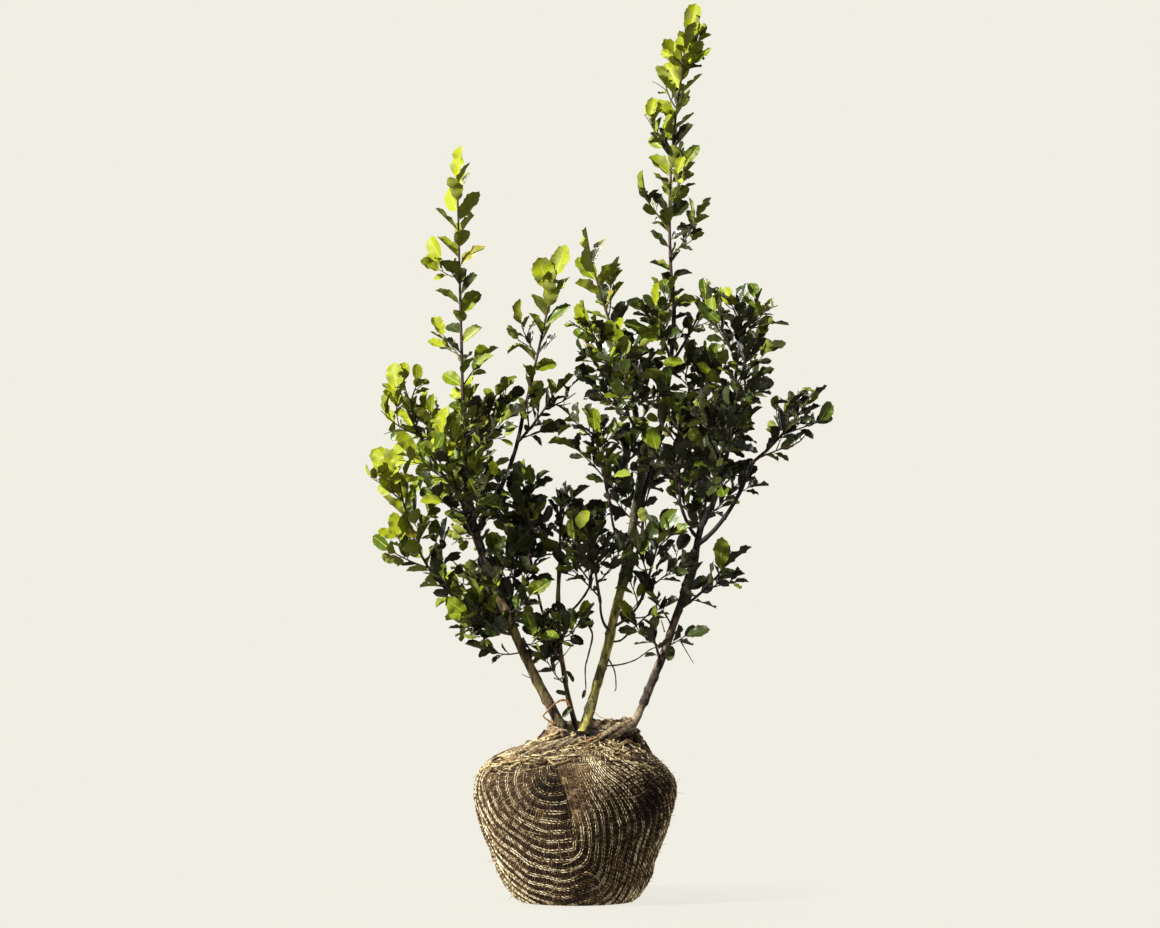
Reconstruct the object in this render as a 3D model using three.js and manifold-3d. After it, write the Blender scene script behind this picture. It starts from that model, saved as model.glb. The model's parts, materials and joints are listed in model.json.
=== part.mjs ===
// A young holly shrub of four stems on its cloth-wrapped root ball, as a scene graph of named solids.
// Millimetres, +Z up. The origin is the middle of the ball's flat underside, +X is the viewer's right
// and +Y points away from the viewer.
import * as THREE from "three";
import { mergeVertices } from "three/addons/utils/BufferGeometryUtils.js";
import Module from "manifold-3d";

const wasm = await Module();
wasm.setup();

// Driving sizes of the whole plant
const SOIL = 240; // height of the soil that the stems stand in, above the ball's underside
const CLEAR = 0.4; // air between solids that would touch
const SLIVER = 0.06; // how far a surface may move where slivers of faces are merged
const UP = new THREE.Vector3(0, 0, 1);
const ACROSS = new THREE.Vector3(1, 0, 0);
const GOLDEN = THREE.MathUtils.degToRad(137.5);

// The root ball's outline, as [radius, height] from the underside's rim up to the neck
const BALL_OUTLINE = [
  [76, 0],
  [91, 13],
  [106, 38],
  [120, 74],
  [133, 108],
  [140, 140],
  [140, 170],
  [125, 192],
  [99, 209],
  [79, 220],
  [69, 230],
  [63, SOIL],
];
const BALL = { sides: 28, levels: 11, neckShift: 21, neckFrom: 200, neckTo: 236 };
const NECK_DEPTH = 0.6; // the neck's depth beside its width
const BELLY_DEPTH = 0.97;
const FOLD = { angle: -1.62, width: 0.17, depth: 9, low: 96, high: 214 }; // the crease in the front
const COLLAR = { long: 59, deep: 35, thick: 4, tall: 9, lift: 6, wave: 3, waves: 5 };
const TIE = { low: 221, rise: 17, thick: 5 };
const KNOT = { x: 16, wide: 15, deep: 9, tall: 9 };

// Each stem: its foot on the soil, its end, and how far its middle bows off the straight line
const STEMS = [
  { name: "stem_left", foot: [-16, -8], tip: [-154, -46, 566], bow: [-12, 0, 0], base: 7.4, end: 5, bark: "brown" },
  { name: "stem_slender", foot: [3, 18], tip: [-22, 42, 477], bow: [-13, 4, 0], base: 3.9, end: 2.9, bark: "olive" },
  { name: "stem_centre", foot: [10, -3], tip: [94, 25, 617], bow: [9, 0, 0], base: 7.2, end: 5.2, bark: "olive" },
  { name: "stem_right", foot: [76, 4], tip: [175, -30, 529], bow: [10, 0, 0], base: 6.2, end: 4.6, bark: "brown" },
];
const FLARE = 1.2; // how much wider a stem's foot is than the stem above it

// Each bough grows from a place along another limb: at 1 from its tip, and below 1 from its side
const BOUGHS = [
  { name: "leader_left", from: "stem_left", at: 1, tip: [-157, -52, 690], bow: [3, 0, 0], base: 4.6, end: 3.6 },
  { name: "leader_centre", from: "stem_centre", at: 1, tip: [59, -15, 774], bow: [5, 0, 0], base: 4.4, end: 3.2 },
  { name: "leader_right", from: "stem_centre", at: 0.78, tip: [138, 42, 838], bow: [14, 10, 0], base: 4.2, end: 3 },
  { name: "bough_left_high", from: "leader_left", at: 0.12, tip: [-196, -76, 618], bow: [-6, -4, -5], base: 3, end: 2.3 },
  { name: "bough_left_low", from: "stem_left", at: 0.46, tip: [-152, -48, 416], bow: [-6, -4, -8], base: 3.2, end: 2.4 },
  { name: "bough_left_front", from: "stem_left", at: 0.62, tip: [-134, -86, 492], bow: [0, -8, -8], base: 3, end: 2.3 },
  { name: "bough_left_back", from: "stem_left", at: 0.56, tip: [-132, 26, 488], bow: [0, 8, -8], base: 3, end: 2.3 },
  { name: "bough_middle", from: "stem_left", at: 0.86, tip: [-74, -6, 680], bow: [8, 4, -8], base: 3.4, end: 2.6 },
  { name: "bough_slender_left", from: "stem_slender", at: 0.45, tip: [-54, 12, 434], bow: [-3, 0, -4], base: 2.4, end: 2 },
  { name: "bough_slender_right", from: "stem_slender", at: 0.66, tip: [20, 62, 440], bow: [3, 0, -4], base: 2.3, end: 1.9 },
  { name: "bough_centre_low", from: "stem_centre", at: 0.38, tip: [34, -28, 420], bow: [-4, -6, -4], base: 2.4, end: 2 },
  { name: "bough_centre_left", from: "stem_centre", at: 0.66, tip: [48, -14, 556], bow: [-5, -2, -6], base: 2.5, end: 2 },
  { name: "bough_centre_back", from: "stem_centre", at: 0.5, tip: [94, 72, 512], bow: [0, 8, -8], base: 3, end: 2.3 },
  { name: "bough_centre_right", from: "stem_centre", at: 0.4, tip: [92, -24, 424], bow: [4, -3, -4], base: 2.4, end: 1.9 },
  { name: "bough_right_inner", from: "stem_right", at: 0.93, tip: [144, -48, 560], bow: [-2, -2, -4], base: 2.6, end: 2.1 },
  { name: "bough_right_up", from: "stem_right", at: 1, tip: [214, -12, 640], bow: [4, 2, -6], base: 4, end: 3 },
  { name: "bough_right_out", from: "stem_right", at: 0.9, tip: [244, -58, 616], bow: [6, -2, -12], base: 3.4, end: 2.6 },
  { name: "bough_right_back", from: "stem_right", at: 0.66, tip: [172, 34, 496], bow: [4, 8, -8], base: 3, end: 2.3 },
];

// Each mass of foliage: the limb that it grows from, the point of its furthest leaf and its spread
const MASSES = [
  { name: "foliage_left_spire", from: "leader_left", at: 1, tip: [-166, -60, 1051], spread: 58 },
  { name: "foliage_left_shoulder", from: "bough_left_high", at: 1, tip: [-268, -98, 756], spread: 52 },
  { name: "foliage_left_edge", from: "bough_left_low", at: 1, tip: [-266, -92, 640], spread: 76, bow: [-16, 0, -22] },
  { name: "foliage_left_foot", from: "stem_left", at: 0.43, tip: [-184, -88, 420], spread: 52 },
  { name: "foliage_left_front", from: "bough_left_front", at: 1, tip: [-196, -194, 690], spread: 88 },
  { name: "foliage_left_back", from: "bough_left_back", at: 1, tip: [-190, 142, 690], spread: 90 },
  { name: "foliage_left_heart", from: "leader_left", at: 0.4, tip: [-96, 10, 748], spread: 66 },
  { name: "foliage_left_low_back", from: "stem_left", at: 0.42, tip: [-160, 116, 470], spread: 70 },
  { name: "foliage_middle_back", from: "stem_left", at: 0.5, tip: [-72, 84, 566], spread: 76 },
  { name: "foliage_middle_spire", from: "bough_middle", at: 1, tip: [-20, 2, 918], spread: 58 },
  { name: "foliage_middle_side", from: "bough_middle", at: 0.8, tip: [-4, -30, 744], spread: 46 },
  { name: "foliage_middle_left", from: "bough_slender_left", at: 1, tip: [-92, -34, 622], spread: 78 },
  { name: "foliage_slender_top", from: "stem_slender", at: 1, tip: [-22, 52, 598], spread: 70 },
  { name: "foliage_slender_right", from: "bough_slender_right", at: 1, tip: [34, 96, 560], spread: 66 },
  { name: "foliage_slender_foot", from: "stem_slender", at: 0.42, tip: [-58, -56, 410], spread: 50 },
  { name: "foliage_right_spire", from: "leader_right", at: 1, tip: [162, 45, 1262], spread: 64, bow: [-15, 0, 0] },
  { name: "foliage_centre_spire", from: "leader_centre", at: 1, tip: [8, -26, 938], spread: 58 },
  { name: "foliage_centre_side", from: "leader_centre", at: 0.66, tip: [-8, -40, 842], spread: 52 },
  { name: "foliage_centre_front", from: "leader_centre", at: 0.3, tip: [36, -150, 770], spread: 76 },
  { name: "foliage_centre_back", from: "leader_centre", at: 0.45, tip: [56, 142, 800], spread: 72 },
  { name: "foliage_right_crest", from: "leader_right", at: 0.74, tip: [100, -50, 864], spread: 66 },
  { name: "foliage_right_crown", from: "leader_right", at: 0.72, tip: [200, 92, 872], spread: 84 },
  { name: "foliage_right_shoulder", from: "bough_right_up", at: 1, tip: [238, 4, 868], spread: 86 },
  { name: "foliage_right_point", from: "bough_right_out", at: 1, tip: [350, -66, 728], spread: 46 },
  { name: "foliage_right_front", from: "bough_right_up", at: 0.3, tip: [212, -164, 700], spread: 84 },
  { name: "foliage_right_back", from: "bough_right_back", at: 1, tip: [208, 162, 720], spread: 92 },
  { name: "foliage_right_heart", from: "bough_right_inner", at: 1, tip: [140, -88, 720], spread: 74 },
  { name: "foliage_right_core", from: "bough_right_up", at: 0.6, tip: [164, 20, 806], spread: 72 },
  { name: "foliage_centre_left", from: "bough_centre_left", at: 1, tip: [18, -50, 700], spread: 78 },
  { name: "foliage_centre_low", from: "bough_centre_low", at: 1, tip: [14, -84, 552], spread: 62 },
  { name: "foliage_centre_low_back", from: "bough_centre_back", at: 1, tip: [102, 182, 680], spread: 84 },
  { name: "foliage_centre_right", from: "bough_centre_right", at: 1, tip: [130, -60, 560], spread: 66 },
  { name: "foliage_right_low", from: "stem_right", at: 0.6, tip: [240, -30, 498], spread: 48 },
  { name: "foliage_right_foot", from: "stem_right", at: 0.36, tip: [98, -54, 404], spread: 50 },
];

// The rule of growth that every mass follows
const LEAF = { length: 50, width: 29, fold: 2, low: 0.4, high: 0.74, gap: 15, roll: 2.4, attempts: 6, smallest: 0.75 };
const TWIG = { gap: 32, angle: 0.9, rise: 0.4, longest: 95, shortest: 18, bare: 0.2, base: 1, end: 0.9 };
const SHOOT = { pieces: 2, base: 2.6, end: 1.8, bare: 0.1 };
const SPACE_MARGIN = 0.05; // how much deeper in its own space than in any other a point has to lie
const AIR = 1.5; // air between foliage and the limbs and shoots that it doesn't grow from

/** Returns a repeatable stream of numbers from 0 to 1. */
function seeded(seed) {
  let state = seed >>> 0;
  return () => {
    state = (state + 0x6d2b79f5) >>> 0;
    let mixed = Math.imul(state ^ (state >>> 15), state | 1);
    mixed ^= mixed + Math.imul(mixed ^ (mixed >>> 7), mixed | 61);
    return ((mixed ^ (mixed >>> 14)) >>> 0) / 4294967296;
  };
}

const vector = (numbers) => new THREE.Vector3(...numbers);
const smooth = (low, high, value) => THREE.MathUtils.smoothstep(value, low, high);
const mix = THREE.MathUtils.lerp;

// Solids

/** Turns a closed geometry into a solid that can be cut and joined. */
function solidOf(geometry) {
  const bare = geometry.clone();
  bare.deleteAttribute("normal");
  bare.deleteAttribute("uv");
  const merged = mergeVertices(bare, 1e-4);
  return new wasm.Manifold(
    new wasm.Mesh({
      numProp: 3,
      vertProperties: merged.getAttribute("position").array,
      triVerts: new Uint32Array(merged.index.array),
    }),
  );
}

/** Turns a solid back into a geometry that a mesh can show. */
function geometryOf(solid) {
  const { numProp, numVert, vertProperties, triVerts } = solid.getMesh();
  const places = new Float32Array(numVert * 3);
  for (let i = 0; i < numVert; i++) places.set(vertProperties.subarray(i * numProp, i * numProp + 3), i * 3);
  const geometry = new THREE.BufferGeometry();
  geometry.setAttribute("position", new THREE.BufferAttribute(places, 3));
  geometry.setIndex(new THREE.BufferAttribute(triVerts, 1));
  geometry.computeVertexNormals();
  return geometry;
}

const touches = (one, other) => !one.intersect(other).isEmpty();

/** Keeps a solid's largest body, which drops loose scraps and fills sealed hollows, and merges slivers. */
function largestBody(solid) {
  const bodies = solid.simplify(SLIVER).decompose();
  return bodies.reduce((best, body) => (body.volume() > best.volume() ? body : best));
}

/** Moves every vertex of a geometry by a function of its place. */
function reshape(geometry, place) {
  const places = geometry.getAttribute("position");
  const point = new THREE.Vector3();
  for (let i = 0; i < places.count; i++) {
    place(point.fromBufferAttribute(places, i));
    places.setXYZ(i, point.x, point.y, point.z);
  }
  return geometry;
}

// Limbs

/** The curve of a limb or shoot: straight from start to tip, but for the bow of its middle. */
function limbCurve(start, tip, bow = new THREE.Vector3()) {
  const control = start.clone().lerp(tip, 0.5).addScaledVector(bow, 2);
  return new THREE.QuadraticBezierCurve3(start, control, tip);
}

/** A curve made of a few straight pieces of equal length, so that what sits on it also meets its tube. */
function straightPieces(curve, count) {
  const path = new THREE.CurvePath();
  const points = curve.getSpacedPoints(count);
  for (let i = 0; i < count; i++) path.add(new THREE.LineCurve3(points[i], points[i + 1]));
  return path;
}

/** A closed round tube that tapers along a curve; its foot may flare and its tip may reach further. */
function taperedTube(curve, base, end, sides, steps, flare = 1, further = 0) {
  const frames = curve.computeFrenetFrames(steps);
  return reshape(new THREE.CylinderGeometry(end, base, 1, sides, steps), (point) => {
    const ring = Math.round((point.y + 0.5) * steps);
    const wide = ring === 0 ? flare : 1;
    const { x, z } = point;
    point.copy(curve.getPointAt(ring / steps));
    point.addScaledVector(frames.normals[ring], x * wide);
    point.addScaledVector(frames.binormals[ring], -z * wide);
    if (ring === steps) point.addScaledVector(frames.tangents[ring], further);
  });
}

/** Everything that later steps need to know about a limb; tube(more) is its solid, grown by a little. */
function makeLimb({ name, base, end, bark }, curve, sides, flare, parent) {
  const tube = (more) => solidOf(taperedTube(curve, base + more, end + more, sides, sides - 1, flare, more));
  return { name, curve, base, end, bark, parent, tube };
}

/** The point inside a limb where another limb or a mass starts, before it is cut clear of that limb. */
const startIn = (parent, share) => parent.curve.getPoint(Math.min(share, 0.98));

/** Stems first and then boughs, each by name. */
function makeLimbs() {
  const limbs = new Map();
  for (const stem of STEMS) {
    const foot = vector([...stem.foot, SOIL]);
    const tip = vector(stem.tip);
    const below = foot.clone().addScaledVector(tip.clone().sub(foot).normalize(), -12);
    limbs.set(stem.name, makeLimb(stem, limbCurve(below, tip, vector(stem.bow)), 7, FLARE, null));
  }
  for (const bough of BOUGHS) {
    const parent = limbs.get(bough.from);
    const curve = limbCurve(startIn(parent, bough.at), vector(bough.tip), vector(bough.bow));
    const bark = bough.name.startsWith("leader") ? parent.bark : "twig";
    limbs.set(bough.name, makeLimb({ ...bough, bark }, curve, 5, 1, parent));
  }
  return limbs;
}

/** A limb's solid: a bough is cut clear of the limb that it grows from, and a stem flat at the soil. */
function limbSolid(limb) {
  const ground = new THREE.BoxGeometry(600, 600, 100).translate(0, 0, SOIL + CLEAR - 50);
  return largestBody(limb.tube(0).subtract(limb.parent ? limb.parent.tube(CLEAR) : solidOf(ground)));
}

// The root ball and its wrapping

/** The wrapped ball's surface at an angle and a place [radius, height] of its outline. */
function ballPoint(angle, radius, height) {
  const neck = smooth(BALL.neckFrom, BALL.neckTo, height);
  const side = smooth(0, 40, height) * (1 - neck);
  const turn = Math.abs(THREE.MathUtils.euclideanModulo(angle - FOLD.angle + Math.PI, 2 * Math.PI) - Math.PI);
  const crease = Math.exp(-((turn / FOLD.width) ** 2)) * smooth(FOLD.low, 165, height) * (1 - smooth(175, FOLD.high, height));
  const lumps = 0.02 * Math.sin(2 * angle + 0.6) + 0.014 * Math.sin(3 * angle + height / 70) + 0.008 * Math.sin(7 * angle);
  const reach = radius * (1 + side * lumps) - FOLD.depth * crease;
  const centre = BALL.neckShift * neck;
  const depth = mix(BELLY_DEPTH, NECK_DEPTH, neck);
  return new THREE.Vector3(centre + reach * Math.cos(angle), reach * depth * Math.sin(angle), height);
}

/** The ball's closed surface, grown by a little where something has to be cut clear of it. */
function ballGeometry(grow = 0) {
  const outline = new THREE.SplineCurve(BALL_OUTLINE.map(([radius, height]) => new THREE.Vector2(radius, height)));
  const rim = outline.getPoints(BALL.levels);
  const profile = [new THREE.Vector2(0, 0), ...rim, new THREE.Vector2(0, SOIL)];
  const lathe = new THREE.LatheGeometry(profile, BALL.sides).rotateX(Math.PI / 2);
  return reshape(lathe, (point) => {
    const radius = Math.hypot(point.x, point.y);
    const grown = radius > 0 ? radius + grow : 0;
    point.copy(ballPoint(Math.atan2(point.y, point.x), grown, point.z));
    if (point.z > SOIL - 1e-3) point.z += grow;
  });
}

/** A closed ring: path(angle) is its middle line, and it is thick outwards and tall upwards. */
function ringGeometry(path, thick, tall, sides = 4, steps = 22) {
  const middle = 10;
  return reshape(new THREE.TorusGeometry(middle, 1, sides, steps), (point) => {
    const angle = Math.atan2(point.y, point.x);
    const outwards = (Math.hypot(point.x, point.y) - middle) * thick;
    const upwards = point.z * tall;
    point.copy(path(angle));
    point.x += Math.cos(angle) * outwards;
    point.y += Math.sin(angle) * outwards;
    point.z += upwards;
  });
}

/** The middle line of the cloth lip that stands round the stems' feet, higher round the right stem. */
function collarPath(angle) {
  const lift = COLLAR.lift * smooth(0.2, 1, Math.cos(angle));
  const height = SOIL + lift + COLLAR.wave * Math.sin(COLLAR.waves * angle + 0.8);
  return new THREE.Vector3(BALL.neckShift + COLLAR.long * Math.cos(angle), COLLAR.deep * Math.sin(angle), height);
}

/** The middle line of the twisted cloth that ties the neck, rising to the right. */
function tiePath(angle) {
  const height = TIE.low + TIE.rise * smooth(-1, 1.2, Math.cos(angle));
  const outline = new THREE.SplineCurve(BALL_OUTLINE.map(([radius, z]) => new THREE.Vector2(radius, z)));
  const level = outline.getPoints(80).find((place) => place.y >= height - TIE.thick);
  return ballPoint(angle, level.x + TIE.thick * 0.4, height);
}

/** The ball, the lip of cloth round its neck, the tie below that and the knot in front. */
function makeWrapping(limbs) {
  const ball = solidOf(ballGeometry());
  const wideBall = solidOf(ballGeometry(CLEAR));
  const tie = (more) => solidOf(ringGeometry(tiePath, TIE.thick + more, TIE.thick + more));
  const collar = (more) => solidOf(ringGeometry(collarPath, COLLAR.thick + more, COLLAR.tall + more));
  const knotPlace = tiePath(-Math.PI / 2);
  const knot = new THREE.SphereGeometry(1, 9, 6)
    .scale(KNOT.wide, KNOT.deep, KNOT.tall)
    .translate(KNOT.x, knotPlace.y - TIE.thick, knotPlace.z + 1);
  const wideStems = wasm.Manifold.union(STEMS.map((stem) => limbs.get(stem.name).tube(CLEAR)));
  const tieSolid = largestBody(tie(0).subtract(wideBall));
  return {
    root_ball: ball,
    cloth_tie: tieSolid,
    cloth_collar: largestBody(collar(0).subtract(wideBall).subtract(tie(CLEAR)).subtract(wideStems)),
    cloth_knot: largestBody(solidOf(knot).subtract(wideBall).subtract(tie(CLEAR)).subtract(collar(CLEAR))),
  };
}

// Foliage

/** The egg-shaped space of a mass, from the foot of its shoot to the point of its furthest leaf. */
function spaceOf(start, tip, spread) {
  const axis = tip.clone().sub(start);
  const half = axis.length() / 2 + 4;
  return { centre: start.clone().lerp(tip, 0.5), axis: axis.normalize(), half, spread };
}

/** How far out in a space a point lies: 0 at its middle and 1 at its edge. */
function depthIn(space, point) {
  const offset = point.clone().sub(space.centre);
  const along = offset.dot(space.axis);
  const aside = Math.sqrt(Math.max(0, offset.lengthSq() - along * along));
  return Math.hypot(along / space.half, aside / space.spread);
}

/** Any direction at a right angle to another, turned about it by an angle. */
function turnedAside(direction, angle) {
  const aside = direction.clone().cross(Math.abs(direction.z) < 0.9 ? UP : ACROSS).normalize();
  return aside.applyAxisAngle(direction, angle);
}

/** A folded six-cornered leaf of eight faces: its root is at the origin, its tip along +Y and its top +Z. */
function leafGeometry(length, width) {
  const half = width / 2;
  const corners = [
    [0, 0, 0],
    [-half, LEAF.low * length, LEAF.fold],
    [-half * 0.82, LEAF.high * length, LEAF.fold],
    [0, length, 0],
    [half * 0.82, LEAF.high * length, LEAF.fold],
    [half, LEAF.low * length, LEAF.fold],
  ];
  const faces = [0, 5, 1, 1, 5, 4, 1, 4, 2, 2, 4, 3, 3, 5, 0, 3, 4, 5, 3, 0, 1, 3, 1, 2];
  const leaf = new THREE.BufferGeometry();
  leaf.setAttribute("position", new THREE.Float32BufferAttribute(corners.flat(), 3));
  leaf.setIndex(faces);
  return leaf;
}

/** Where a leaf sits on a shoot: at an angle to it, faced to the shoot's tip and the sky, then rolled. */
function leafPlace(root, tangent, aside, angle, roll) {
  const along = tangent.clone().multiplyScalar(Math.cos(angle)).addScaledVector(aside, Math.sin(angle));
  const face = tangent.clone().multiplyScalar(Math.sin(angle)).addScaledVector(aside, -Math.cos(angle));
  face.addScaledVector(UP.clone().addScaledVector(along, -UP.dot(along)), 0.5).normalize();
  face.applyAxisAngle(along, roll);
  const right = along.clone().cross(face);
  return new THREE.Matrix4().makeBasis(right, along, face).setPosition(root);
}

/** One mass of foliage: a shoot, its side twigs and the leaves on both, kept to the mass's own space. */
class Foliage {
  constructor(mass, limbs, index) {
    this.name = mass.name;
    this.parent = limbs.get(mass.from);
    const start = startIn(this.parent, mass.at);
    const tip = vector(mass.tip);
    this.space = spaceOf(start, tip, mass.spread);
    const end = tip.clone().addScaledVector(this.space.axis, -LEAF.length * 0.92);
    const sag = [0, 0, -0.08 * Math.hypot(end.x - start.x, end.y - start.y)];
    this.curve = straightPieces(limbCurve(start, end, vector(mass.bow ?? sag)), SHOOT.pieces);
    this.random = seeded(1000 + 77 * index);
    this.twigs = [];
    this.leaves = [];
  }

  /** The solid of the mass's main shoot, grown by a little. */
  shoot(more) {
    return solidOf(taperedTube(this.curve, SHOOT.base + more, SHOOT.end + more, 3, SHOOT.pieces));
  }

  /** True if a point is in this mass's space and not in any other mass's. */
  owns(point) {
    const depth = depthIn(this.space, point);
    return depth < 1 && this.others.every((other) => depthIn(other.space, point) > depth + SPACE_MARGIN);
  }

  /** Adds the leaf that fits at a place, if it is all in the space and touches only the twig it grows on. */
  addLeaf(own, root, tangent, aside, angle, size) {
    const length = LEAF.length * size;
    const place = leafPlace(root, tangent, aside, angle, LEAF.roll * (this.random() - 0.5));
    const shape = leafGeometry(length, LEAF.width * size).applyMatrix4(place);
    const middle = new THREE.Vector3(0, length / 2, 0).applyMatrix4(place);
    const corners = shape.getAttribute("position");
    const points = [middle];
    for (let i = 1; i < corners.count; i++) points.push(new THREE.Vector3().fromBufferAttribute(corners, i));
    if (!points.every((point) => this.owns(point))) return false;
    const solid = solidOf(shape);
    const leaves = [this, ...this.others].flatMap((mass) => mass.leaves);
    const near = leaves.filter((leaf) => leaf.middle.distanceTo(middle) < LEAF.length);
    const twigs = this.twigs.filter((twig) => twig !== own);
    if ([this.blocked, ...twigs, ...near.map((leaf) => leaf.solid)].some((other) => touches(solid, other))) return false;
    this.leaves.push({ middle, solid });
    return true;
  }

  /** Adds the leaf at the tip of a shoot or twig and then the others, in a spiral from its foot. */
  addLeaves({ solid, curve, bare }) {
    const count = Math.floor((curve.getLength() * (1 - bare)) / LEAF.gap);
    const spin = this.random() * 2 * Math.PI;
    const end = curve.getTangent(1);
    this.addLeaf(solid, curve.getPoint(0.99), end, turnedAside(end, spin), 0.12, 1);
    for (let i = 0; i < count; i++) {
      const share = bare + ((1 - bare) * (i + 0.5)) / count;
      const tangent = curve.getTangent(share);
      for (let attempt = 0; attempt < LEAF.attempts; attempt++) {
        const aside = turnedAside(tangent, spin + i * GOLDEN + attempt * 0.5);
        const size = mix(LEAF.smallest, 1, this.random());
        if (this.addLeaf(solid, curve.getPoint(share), tangent, aside, mix(1.05, 0.6, share), size)) break;
      }
    }
  }

  /** A side twig, as long as the space allows, or nothing if that is too short. */
  sideTwig(start, direction) {
    const rise = direction.clone().addScaledVector(UP, TWIG.rise).normalize();
    for (let length = TWIG.longest; length > TWIG.shortest; length *= 0.82) {
      const curve = new THREE.LineCurve3(start, start.clone().addScaledVector(rise, length));
      if (![0.25, 0.5, 0.75, 1, 1.2].every((share) => this.owns(curve.getPoint(share)))) continue;
      const solid = solidOf(taperedTube(curve, TWIG.base, TWIG.end, 3, 1));
      if (!touches(solid, this.blocked)) return { curve, bare: TWIG.bare, solid };
    }
    return null;
  }

  /** Grows the mass and returns it as one solid. */
  grow(masses, wood) {
    this.others = masses.filter((mass) => mass !== this);
    this.blocked = wasm.Manifold.union([wood, ...this.others.map((mass) => mass.shoot(AIR))]);
    const shoot = { curve: this.curve, bare: SHOOT.bare, solid: this.shoot(0) };
    const count = Math.floor((this.curve.getLength() * (1 - SHOOT.bare)) / TWIG.gap);
    const spin = this.random() * 2 * Math.PI;
    const twigs = [shoot];
    for (let i = 0; i < count; i++) {
      const share = SHOOT.bare + ((1 - SHOOT.bare) * i) / count;
      const tangent = this.curve.getTangent(share);
      const aside = turnedAside(tangent, spin + i * GOLDEN);
      const direction = tangent.multiplyScalar(Math.cos(TWIG.angle)).addScaledVector(aside, Math.sin(TWIG.angle));
      const twig = this.sideTwig(this.curve.getPoint(share), direction);
      if (twig) twigs.push(twig);
    }
    this.twigs = twigs.map((twig) => twig.solid);
    for (const twig of twigs) this.addLeaves(twig);
    const pieces = [...this.twigs, ...this.leaves.map((leaf) => leaf.solid)];
    const fused = wasm.Manifold.union(pieces).simplify(4 * SLIVER);
    return largestBody(fused.subtract(this.parent.tube(CLEAR)));
  }
}

/** Every mass's solid, by name. */
function makeFoliage(limbs) {
  const masses = MASSES.map((mass, index) => new Foliage(mass, limbs, index));
  const wood = wasm.Manifold.union([...limbs.values()].map((limb) => limb.tube(AIR)));
  return Object.fromEntries(masses.map((mass) => [mass.name, mass.grow(masses, wood)]));
}

// The scene graph

const finish = (color, roughness) => new THREE.MeshStandardMaterial({ color, roughness, metalness: 0 });
const MATERIALS = {
  cloth: finish(0x8a744c, 0.95),
  brown: finish(0x5a4a38, 0.85),
  olive: finish(0x77742f, 0.8),
  twig: finish(0x4a382e, 0.75),
  leaf: finish(0x2f4a1c, 0.4),
};

/** A named mesh of a solid. */
function meshOf(name, solid, material) {
  const mesh = new THREE.Mesh(geometryOf(solid), material);
  mesh.name = name;
  return mesh;
}

const holly = new THREE.Group();
const limbs = makeLimbs();
for (const [name, solid] of Object.entries(makeWrapping(limbs))) holly.add(meshOf(name, solid, MATERIALS.cloth));
for (const limb of limbs.values()) holly.add(meshOf(limb.name, limbSolid(limb), MATERIALS[limb.bark]));
for (const [name, solid] of Object.entries(makeFoliage(limbs))) holly.add(meshOf(name, solid, MATERIALS.leaf));

export default holly;
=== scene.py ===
"""The looks of a young holly of four stems on its netted root ball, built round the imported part.

Sizes here are millimetres in the part's own frame, and every mesh is made in metres. The origin is the
middle of the ball's flat underside, +X is the viewer's right, +Y points away and +Z is up.
"""

import json
import logging
import math
from dataclasses import dataclass, field
from enum import Enum
from typing import Any, Iterator, Sequence

import bpy
import numpy as np
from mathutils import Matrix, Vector

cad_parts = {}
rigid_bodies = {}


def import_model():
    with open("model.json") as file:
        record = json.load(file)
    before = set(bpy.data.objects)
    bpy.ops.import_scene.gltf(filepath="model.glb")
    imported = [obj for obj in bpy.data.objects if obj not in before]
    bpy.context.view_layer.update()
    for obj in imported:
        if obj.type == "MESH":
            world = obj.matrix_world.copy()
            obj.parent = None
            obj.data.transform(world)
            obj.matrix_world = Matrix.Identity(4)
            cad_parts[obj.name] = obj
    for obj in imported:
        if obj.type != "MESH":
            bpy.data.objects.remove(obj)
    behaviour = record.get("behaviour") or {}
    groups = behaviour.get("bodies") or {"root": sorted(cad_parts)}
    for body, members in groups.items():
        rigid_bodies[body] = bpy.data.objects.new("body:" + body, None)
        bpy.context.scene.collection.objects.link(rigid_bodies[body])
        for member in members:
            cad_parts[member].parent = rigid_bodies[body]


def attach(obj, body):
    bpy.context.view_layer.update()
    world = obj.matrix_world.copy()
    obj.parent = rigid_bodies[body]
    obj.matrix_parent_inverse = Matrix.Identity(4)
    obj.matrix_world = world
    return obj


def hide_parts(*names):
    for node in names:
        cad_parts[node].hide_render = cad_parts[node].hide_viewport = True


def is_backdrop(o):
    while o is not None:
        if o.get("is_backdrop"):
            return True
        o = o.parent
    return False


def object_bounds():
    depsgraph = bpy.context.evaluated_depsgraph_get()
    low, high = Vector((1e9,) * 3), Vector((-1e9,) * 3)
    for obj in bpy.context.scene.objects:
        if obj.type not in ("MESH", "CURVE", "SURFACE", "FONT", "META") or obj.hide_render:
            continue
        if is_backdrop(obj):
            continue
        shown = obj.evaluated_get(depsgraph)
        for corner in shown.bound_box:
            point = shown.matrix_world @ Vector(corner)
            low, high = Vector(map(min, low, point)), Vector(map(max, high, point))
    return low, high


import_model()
CAD_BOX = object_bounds()

Array = np.ndarray
Pair = tuple[float, float]
Triple = tuple[float, float, float]
Edge = tuple[int, int, int]
Settings = dict[str, Any]
Inputs = dict[str | int, Any]

MM = 0.001
SOIL = 240.0
ROUND = (-1.5 * math.pi, 0.5 * math.pi)
GOLDEN = math.radians(137.5)
UP = np.array([0.0, 0.0, 1.0])
ACROSS = np.array([1.0, 0.0, 0.0])
SUNWARD = np.array([-0.6, -0.55, 0.58])
LOG = logging.getLogger("holly")


# Sums on points and directions


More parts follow.
